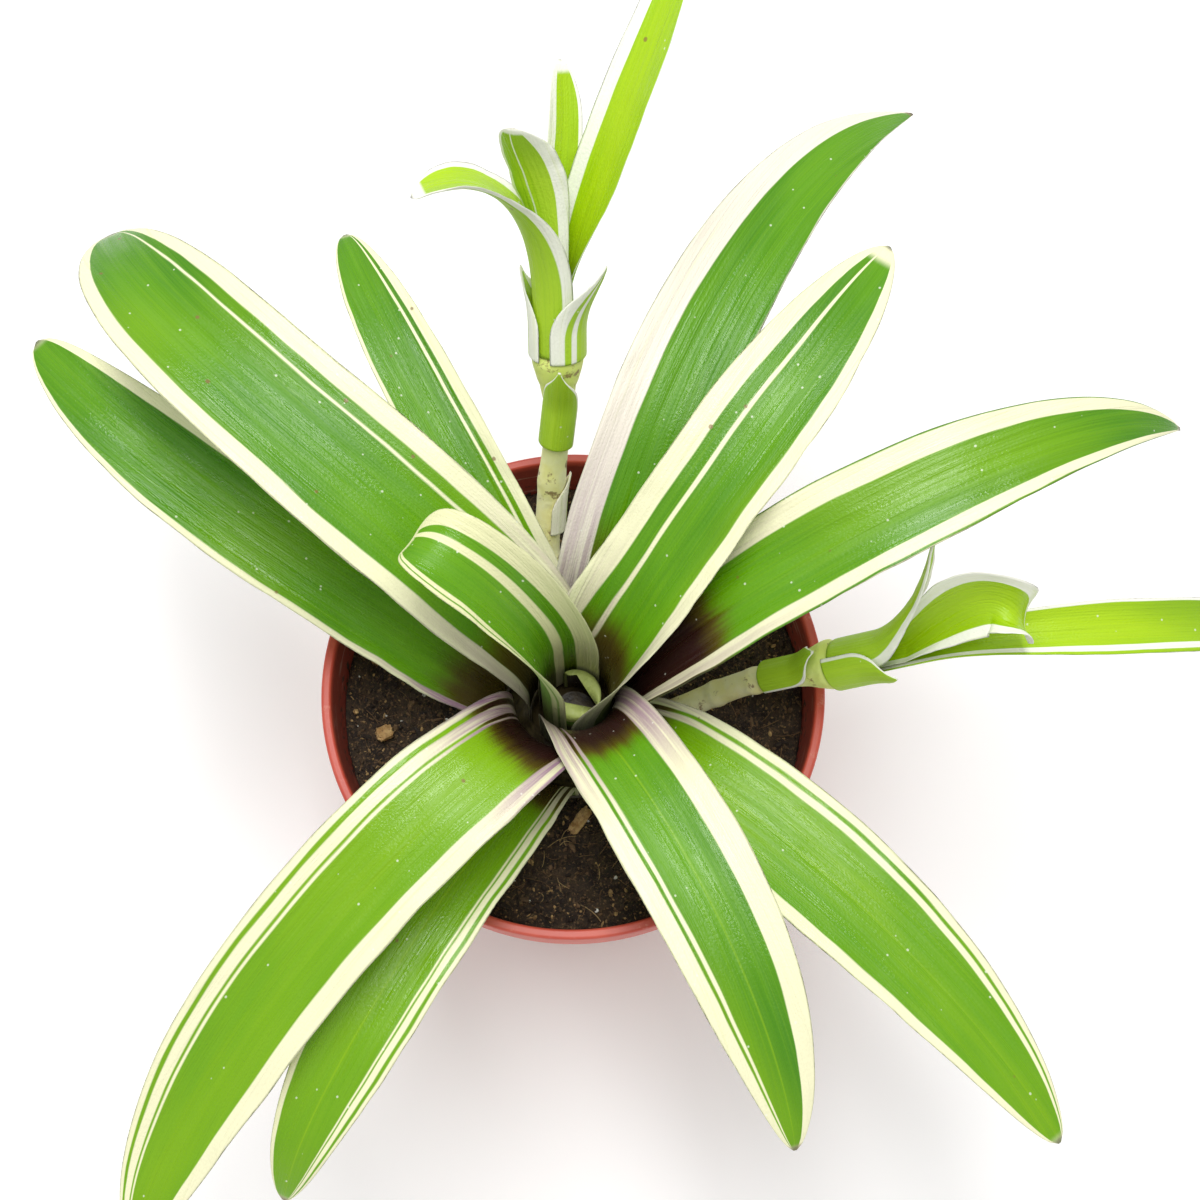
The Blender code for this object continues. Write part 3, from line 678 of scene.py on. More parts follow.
# %% Leaf stripes and stains
PLAIN_LOOK = {
    "flips": (-0.75, 0.75), "green": DEEP_GREEN, "fresh": LEAF_GREEN, "cream": CREAM, "young": 0.2,
    "stain": (16, 34), "stain_strength": 0.8, "blush": 0.4, "tip": 0.985, "midline": 0.0, "dry": 0.3,
    "below": 0.5, "ripple": 1.6,
}
ROSETTE_LOOKS = {
    "leaf_rolled_young": {
        "flips": (-0.93, 0.93), "tip": 0.10, "stain": (-7, 1), "stain_strength": 0.7, "ripple": 0.0,
        "cream": (0.50, 0.56, 0.16), "below": 0.2, "green": (0.030, 0.120, 0.001),
    },
    "leaf_arched_young": {
        "flips": (-0.55, -0.33, -0.15, 0.76, 0.86, 0.90), "tip": 0.94, "blush": 0.1,
        "stain": (-18, 4), "stain_strength": 0.35, "green": (0.03, 0.20, 0.001), "ripple": 0.5,
        "cream": (0.80, 0.79, 0.46),
    },
    "leaf_northeast_upper": {
        "flips": (-0.72, 0.25, 0.33, 0.61), "stain": (14, 38), "stain_strength": 0.55, "tip": 0.955,
    },
    "leaf_south": {
        "flips": (-0.67, -0.60, -0.53, 0.55), "stain": (19, 36), "stain_strength": 0.95,
        "blush": 0.8, "midline": 0.22, "dry": 1.0,
    },
    "leaf_northwest": {"flips": (-0.74, -0.58, -0.54, 0.74), "stain": (20, 44), "stain_strength": 0.5},
    "leaf_east": {
        "flips": (-1.05, -0.95, -0.70, 0.58, 0.97), "stain": (32, 56), "stain_strength": 1.2, "dry": 1.0,
    },
    "leaf_northeast_long": {
        "flips": (-0.96, 0.40), "cream": PINK_CREAM, "stain": (26, 58), "stain_strength": 0.5,
        "blush": 0.5, "dry": 1.6, "tip": 0.995,
    },
    "leaf_southwest_broad": {
        "flips": (-0.88, -0.80, -0.62, -0.57, -0.52, 0.66), "green": LEAF_GREEN,
        "fresh": YELLOW_GREEN, "young": 0.6, "stain": (15, 42), "stain_strength": 1.2, "blush": 1.0,
    },
    "leaf_southeast": {
        "flips": (-0.78, 0.68, 0.79, 0.86), "green": (0.07, 0.28, 0.001), "fresh": YELLOW_GREEN,
        "blush": 0.8, "midline": 0.15,
    },
    "leaf_north_small": {"flips": (-0.72, -0.58, -0.50, 0.90), "stain": (20, 36), "stain_strength": 0.4},
    "leaf_west": {
        "flips": (-0.70, 0.87), "stain": (20, 56), "stain_strength": 0.6, "blush": 0.9, "young": 0.5,
    },
    "leaf_southwest_lower": {
        "flips": (-0.84, 0.62, 0.66, 0.70, 0.82, 0.90), "green": LEAF_GREEN, "fresh": YELLOW_GREEN,
        "midline": 0.25, "stain": (16, 30), "stain_strength": 0.7, "dry": 0.8,
    },
}


# %% Growing a leaf
LEAF_COLUMNS_COUNT = 97
LEAF_ROWS_COUNT = 110


def grow_leaf(name, row, ring, foot, frame, look, thickness, columns, rows, seed):
    """Works out the leaf's curve in its crown's frame and grows it in the object's frame."""
    heading, droop = math.radians(row["heading"]), math.radians(row["droop"])
    out = Vector((math.cos(heading), math.sin(heading), 0))
    left = Vector((-out.y, out.x, 0))
    up = Vector((0, 0, 1))
    base = out * ring + up * foot
    start = base + up * row["tube"]
    end = out * row["reach"] + left * row["side"] + up * row["tip"]
    chord = (end - start).length
    arrival = out * math.cos(droop) - up * math.sin(droop)
    last = end - arrival * chord * HANDLE_SHARE + left * row["bow"]
    length = row["tube"] + chord * LENGTH_SHARE

    def place(point):
        return frame @ (point * MM)

    values = {
        "Foot": place(base), "Start": place(start), "Lift": place(start + up * row["lift"]),
        "Last": place(last), "Tip": place(end), "Left": frame.to_3x3() @ left,
        "Tube share": row["tube"] / length, "Ring": ring * MM, "Length": length * MM,
        "Wrap": math.radians(row["wrap"]), "Cup": math.radians(row["cup"]),
        "Roll": math.radians(row["roll"]), "Spread": float(row["spread"]), "Width": row["width"] * MM,
        "Taper": row["taper"], "Point": row["point"], "Thickness": thickness * MM,
        "Ripple": look["ripple"] * MM, "Seed": float(seed), "Across": columns, "Along": rows,
        "Finish": leaf_finish(name + "_finish", look, row["tube"] * MM),
    }
    return grow(name + "_grown", LEAF, values)


def signed_volume(mesh):
    """Volume in cubic millimetres: positive when the faces point outwards."""
    mesh.calc_loop_triangles()
    points = [vertex.co for vertex in mesh.vertices]
    total = 0.0
    for triangle in mesh.loop_triangles:
        a, b, c = (points[i] for i in triangle.vertices)
        total += a.dot(b.cross(c))
    return total / 6 * 1e9


def open_edges(mesh):
    """How many edges don't have exactly two faces."""
    bm = bmesh.new()
    bm.from_mesh(mesh)
    count = sum(not edge.is_manifold for edge in bm.edges)
    bm.free()
    return count


def report(name, piece):
    mesh = piece.data
    volume = round(signed_volume(mesh))
    print(name, len(mesh.polygons), "faces,", volume, "mm3,", open_edges(mesh), "open edges")


ROSETTE_BASE = ROSETTE_CENTRE + Vector((0, 0, SOIL_TOP))
ROSETTE_FRAME = Matrix.Translation(ROSETTE_BASE)
for seed, (name, values) in enumerate(ROSETTE_LEAVES.items()):
    row = dict(zip(LEAF_COLUMNS, values))
    ring = FIRST_RING + RING_STEP * row["order"]
    foot = STEM_CROWN_HEIGHT - STEM_SLOPE * (ring - FIRST_RING)
    look = {**PLAIN_LOOK, **ROSETTE_LOOKS[name]}
    sizes = (LEAF_THICKNESS, LEAF_COLUMNS_COUNT, LEAF_ROWS_COUNT)
    leaf = grow_leaf(name, row, ring, foot, ROSETTE_FRAME, look, *sizes, seed)
    settle(leaf, name, slot="striped_leaf")
    report(name, leaf)

# %% [markdown]
# ## The offsets
#
# Two young plants grow on runners. A runner is a cream stalk with slight swellings, and small
# pointed bracts clasp it. It follows a smooth curve through a few points, from its root beside the
# stem to the crown of the young plant. A curve object carries that route into a recipe, which skins
# it with a round section and presses fine lengthwise wrinkles into it.

# %% Runner routes
STOLON_RADIUS = 3.1
OFFSET_FIRST_RING = 2.2
OFFSET_RING_STEP = 1.0
OFFSET_CROWN_HEIGHT = 4
OFFSET_THICKNESS = 0.6
CLEARANCE = 0.3
NECK_LENGTH = 7
STRAIGHT_LENGTH = 16
ROUTE_STEPS = 70
RUNNER_BURIED = 4 * MM
STOLONS = {
    "north_offset": {
        "root_azimuth": 100.5, "root_gap": 7.5, "azimuth": 90, "elevation": 50, "crown": (2.2, 36.4, 64),
        "free_points": [(-0.8, 0.8, 15), (-0.9, 7.4, 25), (0.2, 16.4, 36)],
    },
    "east_offset": {
        "root_azimuth": 7, "root_gap": 0, "azimuth": 0, "elevation": 40, "crown": (36.6, 2.3, 30.6),
        "free_points": [(3.8, -0.2, 2.5), (10.3, 1.5, 7), (17.5, 2.4, 13.8)],
    },
}


def direction_of(azimuth, elevation):
    azimuth, elevation = math.radians(azimuth), math.radians(elevation)
    level = Vector((math.cos(azimuth), math.sin(azimuth), 0)) * math.cos(elevation)
    return level + Vector((0, 0, math.sin(elevation)))


def through(points, count):
    """Places on a smooth curve through the points."""
    padded = [points[0] * 2 - points[1], *points, points[-1] * 2 - points[-2]]
    spans = len(points) - 1
    places = []
    for i in range(count + 1):
        along = spans * i / count
        span = min(int(along), spans - 1)
        t = along - span
        before, start, end, after = padded[span:span + 4]
        leave, arrive = start + (end - before) / 6, end - (after - start) / 6
        s = 1 - t
        places.append(start * s**3 + leave * (3 * s * s * t) + arrive * (3 * s * t * t) + end * t**3)
    return places


def crown_frame(origin, axis):
    """The frame whose +Z is the crown's axis and whose +Y stays level."""
    level = Vector((-axis.y, axis.x, 0)).normalized()
    turn = Matrix((level.cross(axis), level, axis)).transposed()
    return Matrix.Translation(origin) @ turn.to_4x4()


def runner_route(plan):
    axis = direction_of(plan["azimuth"], plan["elevation"])
    root_reach = STEM_RADIUS + (2 * CLEARANCE + STOLON_RADIUS + plan["root_gap"]) * MM
    root = ROSETTE_CENTRE + direction_of(plan["root_azimuth"], 0) * root_reach
    root.z = SOIL_TOP
    crown = root + Vector(plan["crown"]) * MM
    free = [root + Vector(point) * MM for point in plan["free_points"]]
    ends = [crown - axis * STRAIGHT_LENGTH * MM, crown - axis * NECK_LENGTH * MM]
    foot = root - Vector((0, 0, RUNNER_BURIED))
    return through([foot, *free, *ends], ROUTE_STEPS), crown, axis


ROUTES = {name: runner_route(plan) for name, plan in STOLONS.items()}
for name, (places, crown, _) in ROUTES.items():
    run = sum((b - a).length for a, b in zip(places, places[1:]))
    print(name, "runner", round(run * 1000), "mm, crown at", [round(x, 4) for x in crown])

# %% Runner recipe and finish
RUNNER_SIDES = 40
WRINKLE = 0.10 * MM
# Shares of the route with a swelling, and how far it stands out.
SWELLINGS = {"north_offset": (0.30, 0.62), "east_offset": (0.42, 0.66)}
SWELLING_HEIGHT = 0.35
SWELLING_LENGTH = 0.035
# The runner widens over its last stretch, and the crown closes over it like a low cone, in mm.
CROWN_FLARE = 2.6
CROWN_FLARE_LENGTH = 17
CROWN_PROFILE = (
    (-5.5, 4.7), (-4, 5.1), (-2.6, 5.5), (-1.5, 5.75), (-0.6, 5.8), (0.2, 5.3), (1.0, 4.6), (2.5, 3.1),
    (4.0, 1.6),
)


def runner_recipe():
    tree, g = new_recipe("runner", {"Sides": "Int", "Wrinkle": "Float", "Finish": "Material"})
    share = tree.node("GeometryNodeSplineParameter", None, None, "Factor")
    kept = tree.node("GeometryNodeStoreNamedAttribute", {"data_type": "FLOAT", "domain": "POINT"},
                     {"Geometry": g["Geometry"], "Name": "along", "Value": share})
    section = tree.node("GeometryNodeCurvePrimitiveCircle", None, {"Resolution": g["Sides"], "Radius": 1.0})
    skinned = tree.node("GeometryNodeCurveToMesh", None, {
        "Curve": kept, "Profile Curve": section, "Fill Caps": True,
        "Scale": tree.node("GeometryNodeInputRadius"),
    })
    place = tree.node("GeometryNodeInputPosition")
    normal = tree.node("GeometryNodeInputNormal")
    coarse = tree.node("ShaderNodeTexNoise", None, {"Vector": place, "Scale": 420.0, "Detail": 3.0}, "Fac")
    shift = normal * ((coarse - 0.5) * g["Wrinkle"] * 2)
    moved = tree.node("GeometryNodeSetPosition", None, {"Geometry": skinned, "Offset": shift})
    smooth = tree.node("GeometryNodeSetShadeSmooth", None, {"Geometry": moved})
    finish_recipe(tree, smooth, g["Finish"])
    return tree


STALK, STALK_PALE, STALK_GREEN = (0.86, 0.80, 0.36), (0.90, 0.86, 0.56), (0.55, 0.70, 0.06)
STALK_SCAR, STALK_FOOT = (0.17, 0.075, 0.030), (0.14, 0.070, 0.030)


def runner_finish():
    finish, tree, shader = new_finish("runner_finish")
    place = own_place(tree)
    along = attribute(tree, "along")
    mottle = grain(tree, place, 160, 4.0, 0.6)
    fibre = grain(tree, place, (900, 900, 500), 2.0)
    colour = blend(mottle.smooth(0.35, 0.70), STALK, STALK_PALE)
    colour = blend(along.smooth(0.45, 1.0) * 0.75, colour, STALK_GREEN)
    stain = grain(tree, place, 240, 5.0, 0.65).smooth(0.58, 0.66) * 0.8
    colour = blend(stain, colour, STALK_SCAR)
    colour = blend((1 - along.smooth(0.04, 0.16)) * 0.7, colour, STALK_FOOT)
    put(tree, shader, {
        "Base Color": colour, "Roughness": 0.45 + fibre * 0.2,
        "Normal": bump(tree, fibre + mottle, 0.3 * MM, 0.7),
    })
    return finish


def runner_curve(name, places, crown, axis):
    """The route as a curve object's data: round stalk, swellings, and the cone under the crown."""
    data = bpy.data.curves.new(name, "CURVE")
    data.dimensions = "3D"
    spline = data.splines.new("POLY")
    stations = []
    left = sum((b - a).length for a, b in zip(places, places[1:])) / MM + NECK_LENGTH
    for i, point in enumerate(places):
        share = i / (len(places) - 1)
        if i:
            left -= (point - places[i - 1]).length / MM
        swell = sum(math.exp(-((share - at) / SWELLING_LENGTH) ** 2) for at in SWELLINGS[name])
        widening = max(1 - left / CROWN_FLARE_LENGTH, 0) ** 1.6 * CROWN_FLARE
        stations.append((point, (STOLON_RADIUS - 0.1 + SWELLING_HEIGHT * swell + widening) * MM))
    for height, radius in CROWN_PROFILE:
        stations.append((crown + axis * height * MM, radius * MM))
    spline.points.add(len(stations) - 1)
    for point, (place, radius) in zip(spline.points, stations):
        point.co = (*place, 1)
        point.radius = radius
    return data


RUNNER = runner_recipe()
RUNNER_FINISH = runner_finish()
for name, (places, crown, axis) in ROUTES.items():
    values = {"Sides": RUNNER_SIDES, "Wrinkle": WRINKLE, "Finish": RUNNER_FINISH}
    runner = grow(name + "_runner", RUNNER, values, runner_curve(name, places, crown, axis))
    settle(runner, name + "_stolon", slot="stolon")
    report(runner.name, runner)

# %% Offset leaves
OFFSET_LEAVES = {
    "north_offset_leaf_long": (0, -50, 6, 16, 33, 91, -49, -6, -11, 3, 15, 85, 25, 0.50, 0.60, 0.5),
    "north_offset_leaf_inner": (1, 35, 8, 25, 7, 63, -72, -6, 2, -2, 9.5, 85, 35, 0.60, 0.78, 0.5),
    "north_offset_leaf_middle": (2, 160, 16, 22, 11, 54, -55, -5, 0, 0, 14, 60, 35, 0.60, 0.74, 0.5),
    "north_offset_leaf_folded": (3, 105, 13, 24, 31, 39, 25, 0, 0, 0, 18, 120, 30, 0.55, 0.68, 0.5),
    "north_offset_bract_right": (4, -115, 6, 6, 12, 23, -70, 0, 0, 0, 10, 80, 45, 0.85, 0.30, 0.9),
    "north_offset_bract_left": (4, 70, 7, 5, 8.5, 20, -78, 0, 0, 0, 6, 70, 45, 0.85, 0.30, 0.9),
    "east_offset_leaf_curled": (1, 36, 14, 3, 4, 45, 42, -6, 25, 2, 17, 95, 45, 0.60, 0.70, 0.45),
    "east_offset_leaf_upright": (3, 137, 11, 6, 26, 39, -30, 2, 2, 4, 9, 100, 50, 0.60, 0.50, 0.7),
    "east_offset_leaf_long": (2, 8, 21, 23, 86, 75, 4, 3, -5, 0, 13, 70, 25, 0.50, 0.60, 0.5),
    "east_offset_bract_upper": (4, -110, 7, 5, 8.2, 18, -82, 0, 0, 0, 8, 65, 50, 0.85, 0.30, 0.9),
}
# Small bracts along the runners: distance back from the crown, heading, length, width and how far
# the tip leans out. The heading is in degrees and the rest in mm.
RUNNER_BRACTS = {
    "north_offset_bract_front": (22, 180, 24, 7, 3.9),
    "north_offset_bract_lower": (46, -80, 15, 6, 0.7),
    "east_offset_bract_lower": (19, 175, 20, 8, 4.3),
}
OFFSET_LOOK = {
    **PLAIN_LOOK, "green": (0.290, 0.530, 0.002), "fresh": LIME, "cream": WHITE_CREAM, "young": 0.3,
    "stain_strength": 0.0, "blush": 0.0, "tip": 0.95, "below": 0.12, "ripple": 0.5,
}
OFFSET_LOOKS = {
    "north_offset_leaf_long": {"flips": (-0.97, 0.55), "tip": 0.99},
    "north_offset_leaf_inner": {"flips": (-0.80, 0.45), "tip": 0.95},
    "north_offset_leaf_middle": {"flips": (-0.80, -0.30, -0.24, 0.52), "tip": 0.95},
    "north_offset_leaf_folded": {"flips": (-0.78, 0.74), "tip": 0.92},
    "north_offset_bract_right": {"flips": (-0.62, -0.45, -0.30, 0.35, 0.55), "tip": 0.97},
    "north_offset_bract_left": {"flips": (-0.40, 0.45), "tip": 0.9},
    "east_offset_leaf_curled": {"flips": (-0.66, 0.62), "tip": 0.93},
    "east_offset_leaf_upright": {"flips": (-0.76, 0.72), "tip": 0.95},
    "east_offset_leaf_long": {"flips": (-1.05, -0.86, -0.62, 0.90), "tip": 0.99},
    "east_offset_bract_upper": {"flips": (-0.88, 0.88), "tip": 0.97},
    "north_offset_bract_front": {"flips": (-0.85, 0.85), "tip": 0.97},
    "north_offset_bract_lower": {"flips": (-0.2, 0.2), "tip": 0.9, "cream": PINK_CREAM},
    "east_offset_bract_lower": {"flips": (-0.80, 0.85), "tip": 0.95},
}
OFFSET_COLUMNS_COUNT = 61
OFFSET_ROWS_COUNT = 70


def back_on_route(places, back):
    """The place and direction at a distance back from the route's end."""
    for after, before in zip(places[::-1], places[-2::-1]):
        step = (after - before).length
        if back <= step:
            return after.lerp(before, back / step), (after - before).normalized()
        back -= step
    return places[0], (places[1] - places[0]).normalized()


# The lower part of a runner bract is a sheath that clasps the runner. Its blade is a short, cupped point.
BRACT_TUBE_SHARE = 0.4
BRACT_LIFT_SHARE = 0.2
BRACT_DROOP = -80
BRACT_BLADE = (85, 55, 0.9, 0.15, 0.9)


def bract_row(heading, length, width, lean):
    """The leaf row of a runner bract, and the radius that it stands at."""
    ring = STOLON_RADIUS + 2 * CLEARANCE + OFFSET_THICKNESS / 2
    tube, lift = length * BRACT_TUBE_SHARE, length * BRACT_LIFT_SHARE
    values = (0, heading, tube, lift, ring + lean, length, BRACT_DROOP, 0, 0, 0, width)
    return dict(zip(LEAF_COLUMNS, values + BRACT_BLADE)), ring


def grow_offset_leaf(name, row, ring, foot, frame, seed):
    look = {**OFFSET_LOOK, **OFFSET_LOOKS[name]}
    if "bract" in name:
        look["ripple"] = 0.2
    sizes = (OFFSET_THICKNESS, OFFSET_COLUMNS_COUNT, OFFSET_ROWS_COUNT)
    leaf = grow_leaf(name, row, ring, foot, frame, look, *sizes, seed)
    settle(leaf, name, slot="bract" if "bract" in name else "offset_leaf")


for seed, (name, values) in enumerate(OFFSET_LEAVES.items(), start=20):
    row = dict(zip(LEAF_COLUMNS, values))
    ring = OFFSET_FIRST_RING + OFFSET_RING_STEP * row["order"]
    places, crown, axis = ROUTES["_".join(name.split("_")[:2])]
    foot = OFFSET_CROWN_HEIGHT - (ring - OFFSET_FIRST_RING)
    grow_offset_leaf(name, row, ring, foot, crown_frame(crown, axis), seed)
for seed, (name, (back, *shape)) in enumerate(RUNNER_BRACTS.items(), start=40):
    places, crown, axis = ROUTES["_".join(name.split("_")[:2])]
    place, direction = back_on_route(places, (back - NECK_LENGTH) * MM)
    row, ring = bract_row(*shape)
    grow_offset_leaf(name, row, ring, 0, crown_frame(place, direction), seed)
print(len(OFFSET_LEAVES), "leaves and crown bracts,", len(RUNNER_BRACTS), "runner bracts")

# %% [markdown]
# ## The pot
#
# A moulded grower's pot is turned from one profile. Its lip is rounded, and the outside steps in
# under the collar. The profile is given as arcs and lines and swept round with many steps, so that
# the rim reads as a true circle. A value kept on each point tells the inside from the outside,
# because the inside is painted darker, partly as painted shade of the pot's hollow and partly as
# wet peat stain, and has pale water marks.

# %% Pot profile
POT_RIM_RADIUS = POT_HIGH.x
POT_HEIGHT = POT_HIGH.z
POT_BASE_RADIUS = 43 * MM
POT_WALL = 1.5 * MM
POT_FLOOR = 2.0 * MM
LIP_WIDTH = 2.4 * MM
LIP_FLATNESS = 0.8
COLLAR_HEIGHT = 14 * MM
COLLAR_STEP = 1.6 * MM
COLLAR_TAPER = 0.8 * MM
BASE_ROUNDING = 1.2 * MM
# The wall is straight from this height up. The collar's lower edge is eased by three points,
# each its distance out and up from the edge in mm.
WALL_START = 4 * MM
COLLAR_EDGE = ((-0.3, -0.35), (0, 0), (0.02, 0.4))
POT_TURNS = 192
DRAIN_HOLES = 8
DRAIN_HOLE_RADIUS = 4 * MM
DRAIN_CIRCLE_RADIUS = 30 * MM
COLLAR_BOTTOM = POT_HEIGHT - COLLAR_HEIGHT


def arc(centre, radius, first, last, count):
    """Places on an arc in the profile's plane, angles in degrees."""
    angles = [math.radians(first + (last - first) * i / count) for i in range(count + 1)]
    return [(centre[0] + radius * math.cos(a), centre[1] + radius * math.sin(a)) for a in angles]


def outer_radius(height):
    top = POT_RIM_RADIUS - COLLAR_TAPER - COLLAR_STEP
    return POT_BASE_RADIUS + (top - POT_BASE_RADIUS) * height / COLLAR_BOTTOM


def inner_radius(height):
    at_collar = outer_radius(COLLAR_BOTTOM) - POT_WALL
    if height <= COLLAR_BOTTOM:
        return outer_radius(height) - POT_WALL
    share = (height - COLLAR_BOTTOM) / COLLAR_HEIGHT
    return at_collar + (POT_RIM_RADIUS - LIP_WIDTH - at_collar) * share


def straight(first, last, count):
    steps = [i / count for i in range(count + 1)]
    return [(first[0] + (last[0] - first[0]) * s, first[1] + (last[1] - first[1]) * s) for s in steps]


def at_heights(radius_at, first, last, count):
    """A straight run of the profile between two heights."""
    return straight((radius_at(first), first), (radius_at(last), last), count)


def pot_profile():
    """Outside and inside as (radius, height), from the middle of the base to the middle of the floor."""
    half_lip = LIP_WIDTH / 2
    lip_middle = (POT_RIM_RADIUS - half_lip, POT_HEIGHT - half_lip * LIP_FLATNESS)
    lip = [(r, min(z, POT_HEIGHT)) for r, z in arc(lip_middle, half_lip, 0, 180, 12)]
    lip = [(r, lip_middle[1] + (z - lip_middle[1]) * LIP_FLATNESS) for r, z in lip]
    rounding = (outer_radius(0) - BASE_ROUNDING, BASE_ROUNDING)
    outside = straight((0, 0), (rounding[0], 0), 6)[1:] + arc(rounding, BASE_ROUNDING, -80, -8, 5)
    collar = (POT_RIM_RADIUS - COLLAR_TAPER, COLLAR_BOTTOM + COLLAR_STEP * 0.7)
    outside += at_heights(outer_radius, WALL_START, COLLAR_BOTTOM, 16)
    outside += [(collar[0] + r * MM, collar[1] + z * MM) for r, z in COLLAR_EDGE]
    inside = at_heights(inner_radius, POT_HEIGHT - LIP_WIDTH, COLLAR_BOTTOM, 6)
    inside += at_heights(inner_radius, COLLAR_BOTTOM - MM, POT_FLOOR, 10)
    inside += straight((inner_radius(POT_FLOOR) - MM, POT_FLOOR), (MM, POT_FLOOR), 5)
    return outside + lip, inside


def turn_profile(name, outside, inside, steps):
    """Sweeps a profile round the axis and closes it at both poles. Keeps `inside` on each point."""
    bm = bmesh.new()
    layer = bm.verts.layers.float.new("inside")
    rings = []
    for radius, height, within in [(*p, 0.0) for p in outside] + [(*p, 1.0) for p in inside]:
        ring = []
        for i in range(steps):
            angle = 2 * math.pi * i / steps
            vert = bm.verts.new((radius * math.cos(angle), radius * math.sin(angle), height))
            vert[layer] = within
            ring.append(vert)
        rings.append(ring)
    for lower, upper in zip(rings, rings[1:]):
        for i in range(steps):
            j = (i + 1) % steps
            bm.faces.new((lower[i], lower[j], upper[j], upper[i]))
    for ring in (rings[0], rings[-1]):
        pole = bm.verts.new((0, 0, ring[0].co.z))
        pole[layer] = ring[0][layer]
        for i in range(steps):
            bm.faces.new((ring[i], ring[(i + 1) % steps], pole))
    bmesh.ops.recalc_face_normals(bm, faces=bm.faces)
    return object_from(bm, name)


def drill(piece, drills):
    """Cuts the drills out of the piece and applies the cuts."""
    for drill_piece in drills:
        modifier = piece.modifiers.new("cut", "BOOLEAN")
        modifier.operation = "DIFFERENCE"
        modifier.solver = "EXACT"
        modifier.object = drill_piece
    mesh = evaluated_mesh(piece)
    piece.modifiers.clear()
    piece.data = mesh
    for drill_piece in drills:
        bpy.data.objects.remove(drill_piece)


# %% Pot finish
PLASTIC, PLASTIC_PALE, SCUFFED = (0.500, 0.062, 0.038), (0.600, 0.098, 0.062), (0.66, 0.27, 0.20)
# The inside colour is painted shade of the pot's hollow mixed with wet peat stain.
INSIDE_SHADE_AND_STAIN, WATER_MARK = (0.200, 0.026, 0.016), (0.62, 0.50, 0.42)
PEAT_SPLASH, POT_DUST = (0.030, 0.018, 0.012), (0.30, 0.16, 0.10)
WORN_FROM, WORN_FULL = POT_HEIGHT - 3.5 * MM, POT_HEIGHT - 0.5 * MM
SPLASH_HEIGHT = 6 * MM
DUST_HEIGHT = 18 * MM


def pot_finish():
    finish, tree, shader = new_finish("pot_plastic_finish")
    place = own_place(tree)
    height = tree.node("ShaderNodeSeparateXYZ", None, {0: place}).other("Z")
    inside = attribute(tree, "inside")
    cloud = grain(tree, place, 45, 4.0, 0.6)
    fine = grain(tree, place, 1400, 2.0)
    colour = blend(cloud.smooth(0.30, 0.72), PLASTIC, PLASTIC_PALE)
    # Scuffs on the lip and the edge of the collar, paler than the plastic.
    scuff = grain(tree, place, (260, 260, 900), 5.0, 0.7).smooth(0.60, 0.72)
    worn = height.smooth(WORN_FROM, WORN_FULL) * 0.35 + 0.12
    colour = blend(scuff * worn, colour, SCUFFED)
    # The inner wall is painted darker, partly as painted shade of the hollow and partly as peat stain;
    # water marks and peat specks lie on it.
    mark = grain(tree, place, (70, 70, 800), 5.0, 0.7).smooth(0.57, 0.66) * inside
    colour = blend(inside * 0.80, colour, INSIDE_SHADE_AND_STAIN)
    colour = blend(mark * 0.40, colour, WATER_MARK)
    splash = grain(tree, place, 500, 3.0).smooth(0.55, 0.62)
    low = 1 - height.smooth(SOIL_TOP, SOIL_TOP + SPLASH_HEIGHT)
    colour = blend(splash * low * inside, colour, PEAT_SPLASH)
    # Dust that has settled near the foot of the outside.
    foot = (1 - height.smooth(0.0, DUST_HEIGHT)) * cloud.smooth(0.45, 0.7) * 0.35
    colour = blend(foot * (1 - inside), colour, POT_DUST)
    put(tree, shader, {
        "Base Color": colour, "Roughness": 0.36 + cloud * 0.14 + inside * 0.15 + scuff * 0.10,
        "Normal": bump(tree, fine * 0.5 + cloud, 0.2 * MM, 0.4),
    })
    return finish


def make_pot():
    pot = turn_profile("pot_moulded", *pot_profile(), POT_TURNS)
    drills = []
    for i in range(DRAIN_HOLES):
        angle = 2 * math.pi * (i + 0.5) / DRAIN_HOLES
        bm = bmesh.new()
        sizes = {"radius1": DRAIN_HOLE_RADIUS, "radius2": DRAIN_HOLE_RADIUS, "depth": POT_FLOOR * 4}
        bmesh.ops.create_cone(bm, cap_ends=True, segments=40, **sizes)
        spot = Vector((math.cos(angle), math.sin(angle), 0)) * DRAIN_CIRCLE_RADIUS
        bmesh.ops.translate(bm, vec=spot, verts=bm.verts)
        drills.append(object_from(bm, "drill"))
    drill(pot, drills)
    pot.data.shade_smooth()
    pot.data.set_sharp_from_angle(angle=math.radians(40))
    pot.data.materials.clear()
    pot.data.materials.append(pot_finish())
    settle(pot, "pot", slot="pot_plastic")
    return pot


pot = make_pot()
report("pot", pot)

# %% [markdown]
# ## The peat
#
# Peat is not a flat disc: it is lumpy, it sinks at the wall, and loose crumbs, fibres and a few
# white grains lie on it. The bed is a turned body whose top follows one height rule made of noise.
# The loose bits are scattered over the same surface with Geometry Nodes, because there are
# thousands of them. Each has only a few faces, and keeps a random tone for its colour.

# %% Soil bed
SOIL_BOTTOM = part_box("soil")[0][2]
SOIL_GAP = 0.3 * MM
SOIL_EDGE_DROP = 1.5 * MM
SOIL_EDGE_WIDTH = 7 * MM
LUMP_HEIGHT = 1.5 * MM
GRIT_HEIGHT = 0.7 * MM
SOIL_TURNS = 220
SOIL_EDGE_DEPTH = 2 * MM
POLE_GAP = 2 * MM
SOIL_POLE_GAP = 0.8 * MM
SOIL_RADIUS = inner_radius(SOIL_TOP - SOIL_EDGE_DROP) - SOIL_GAP


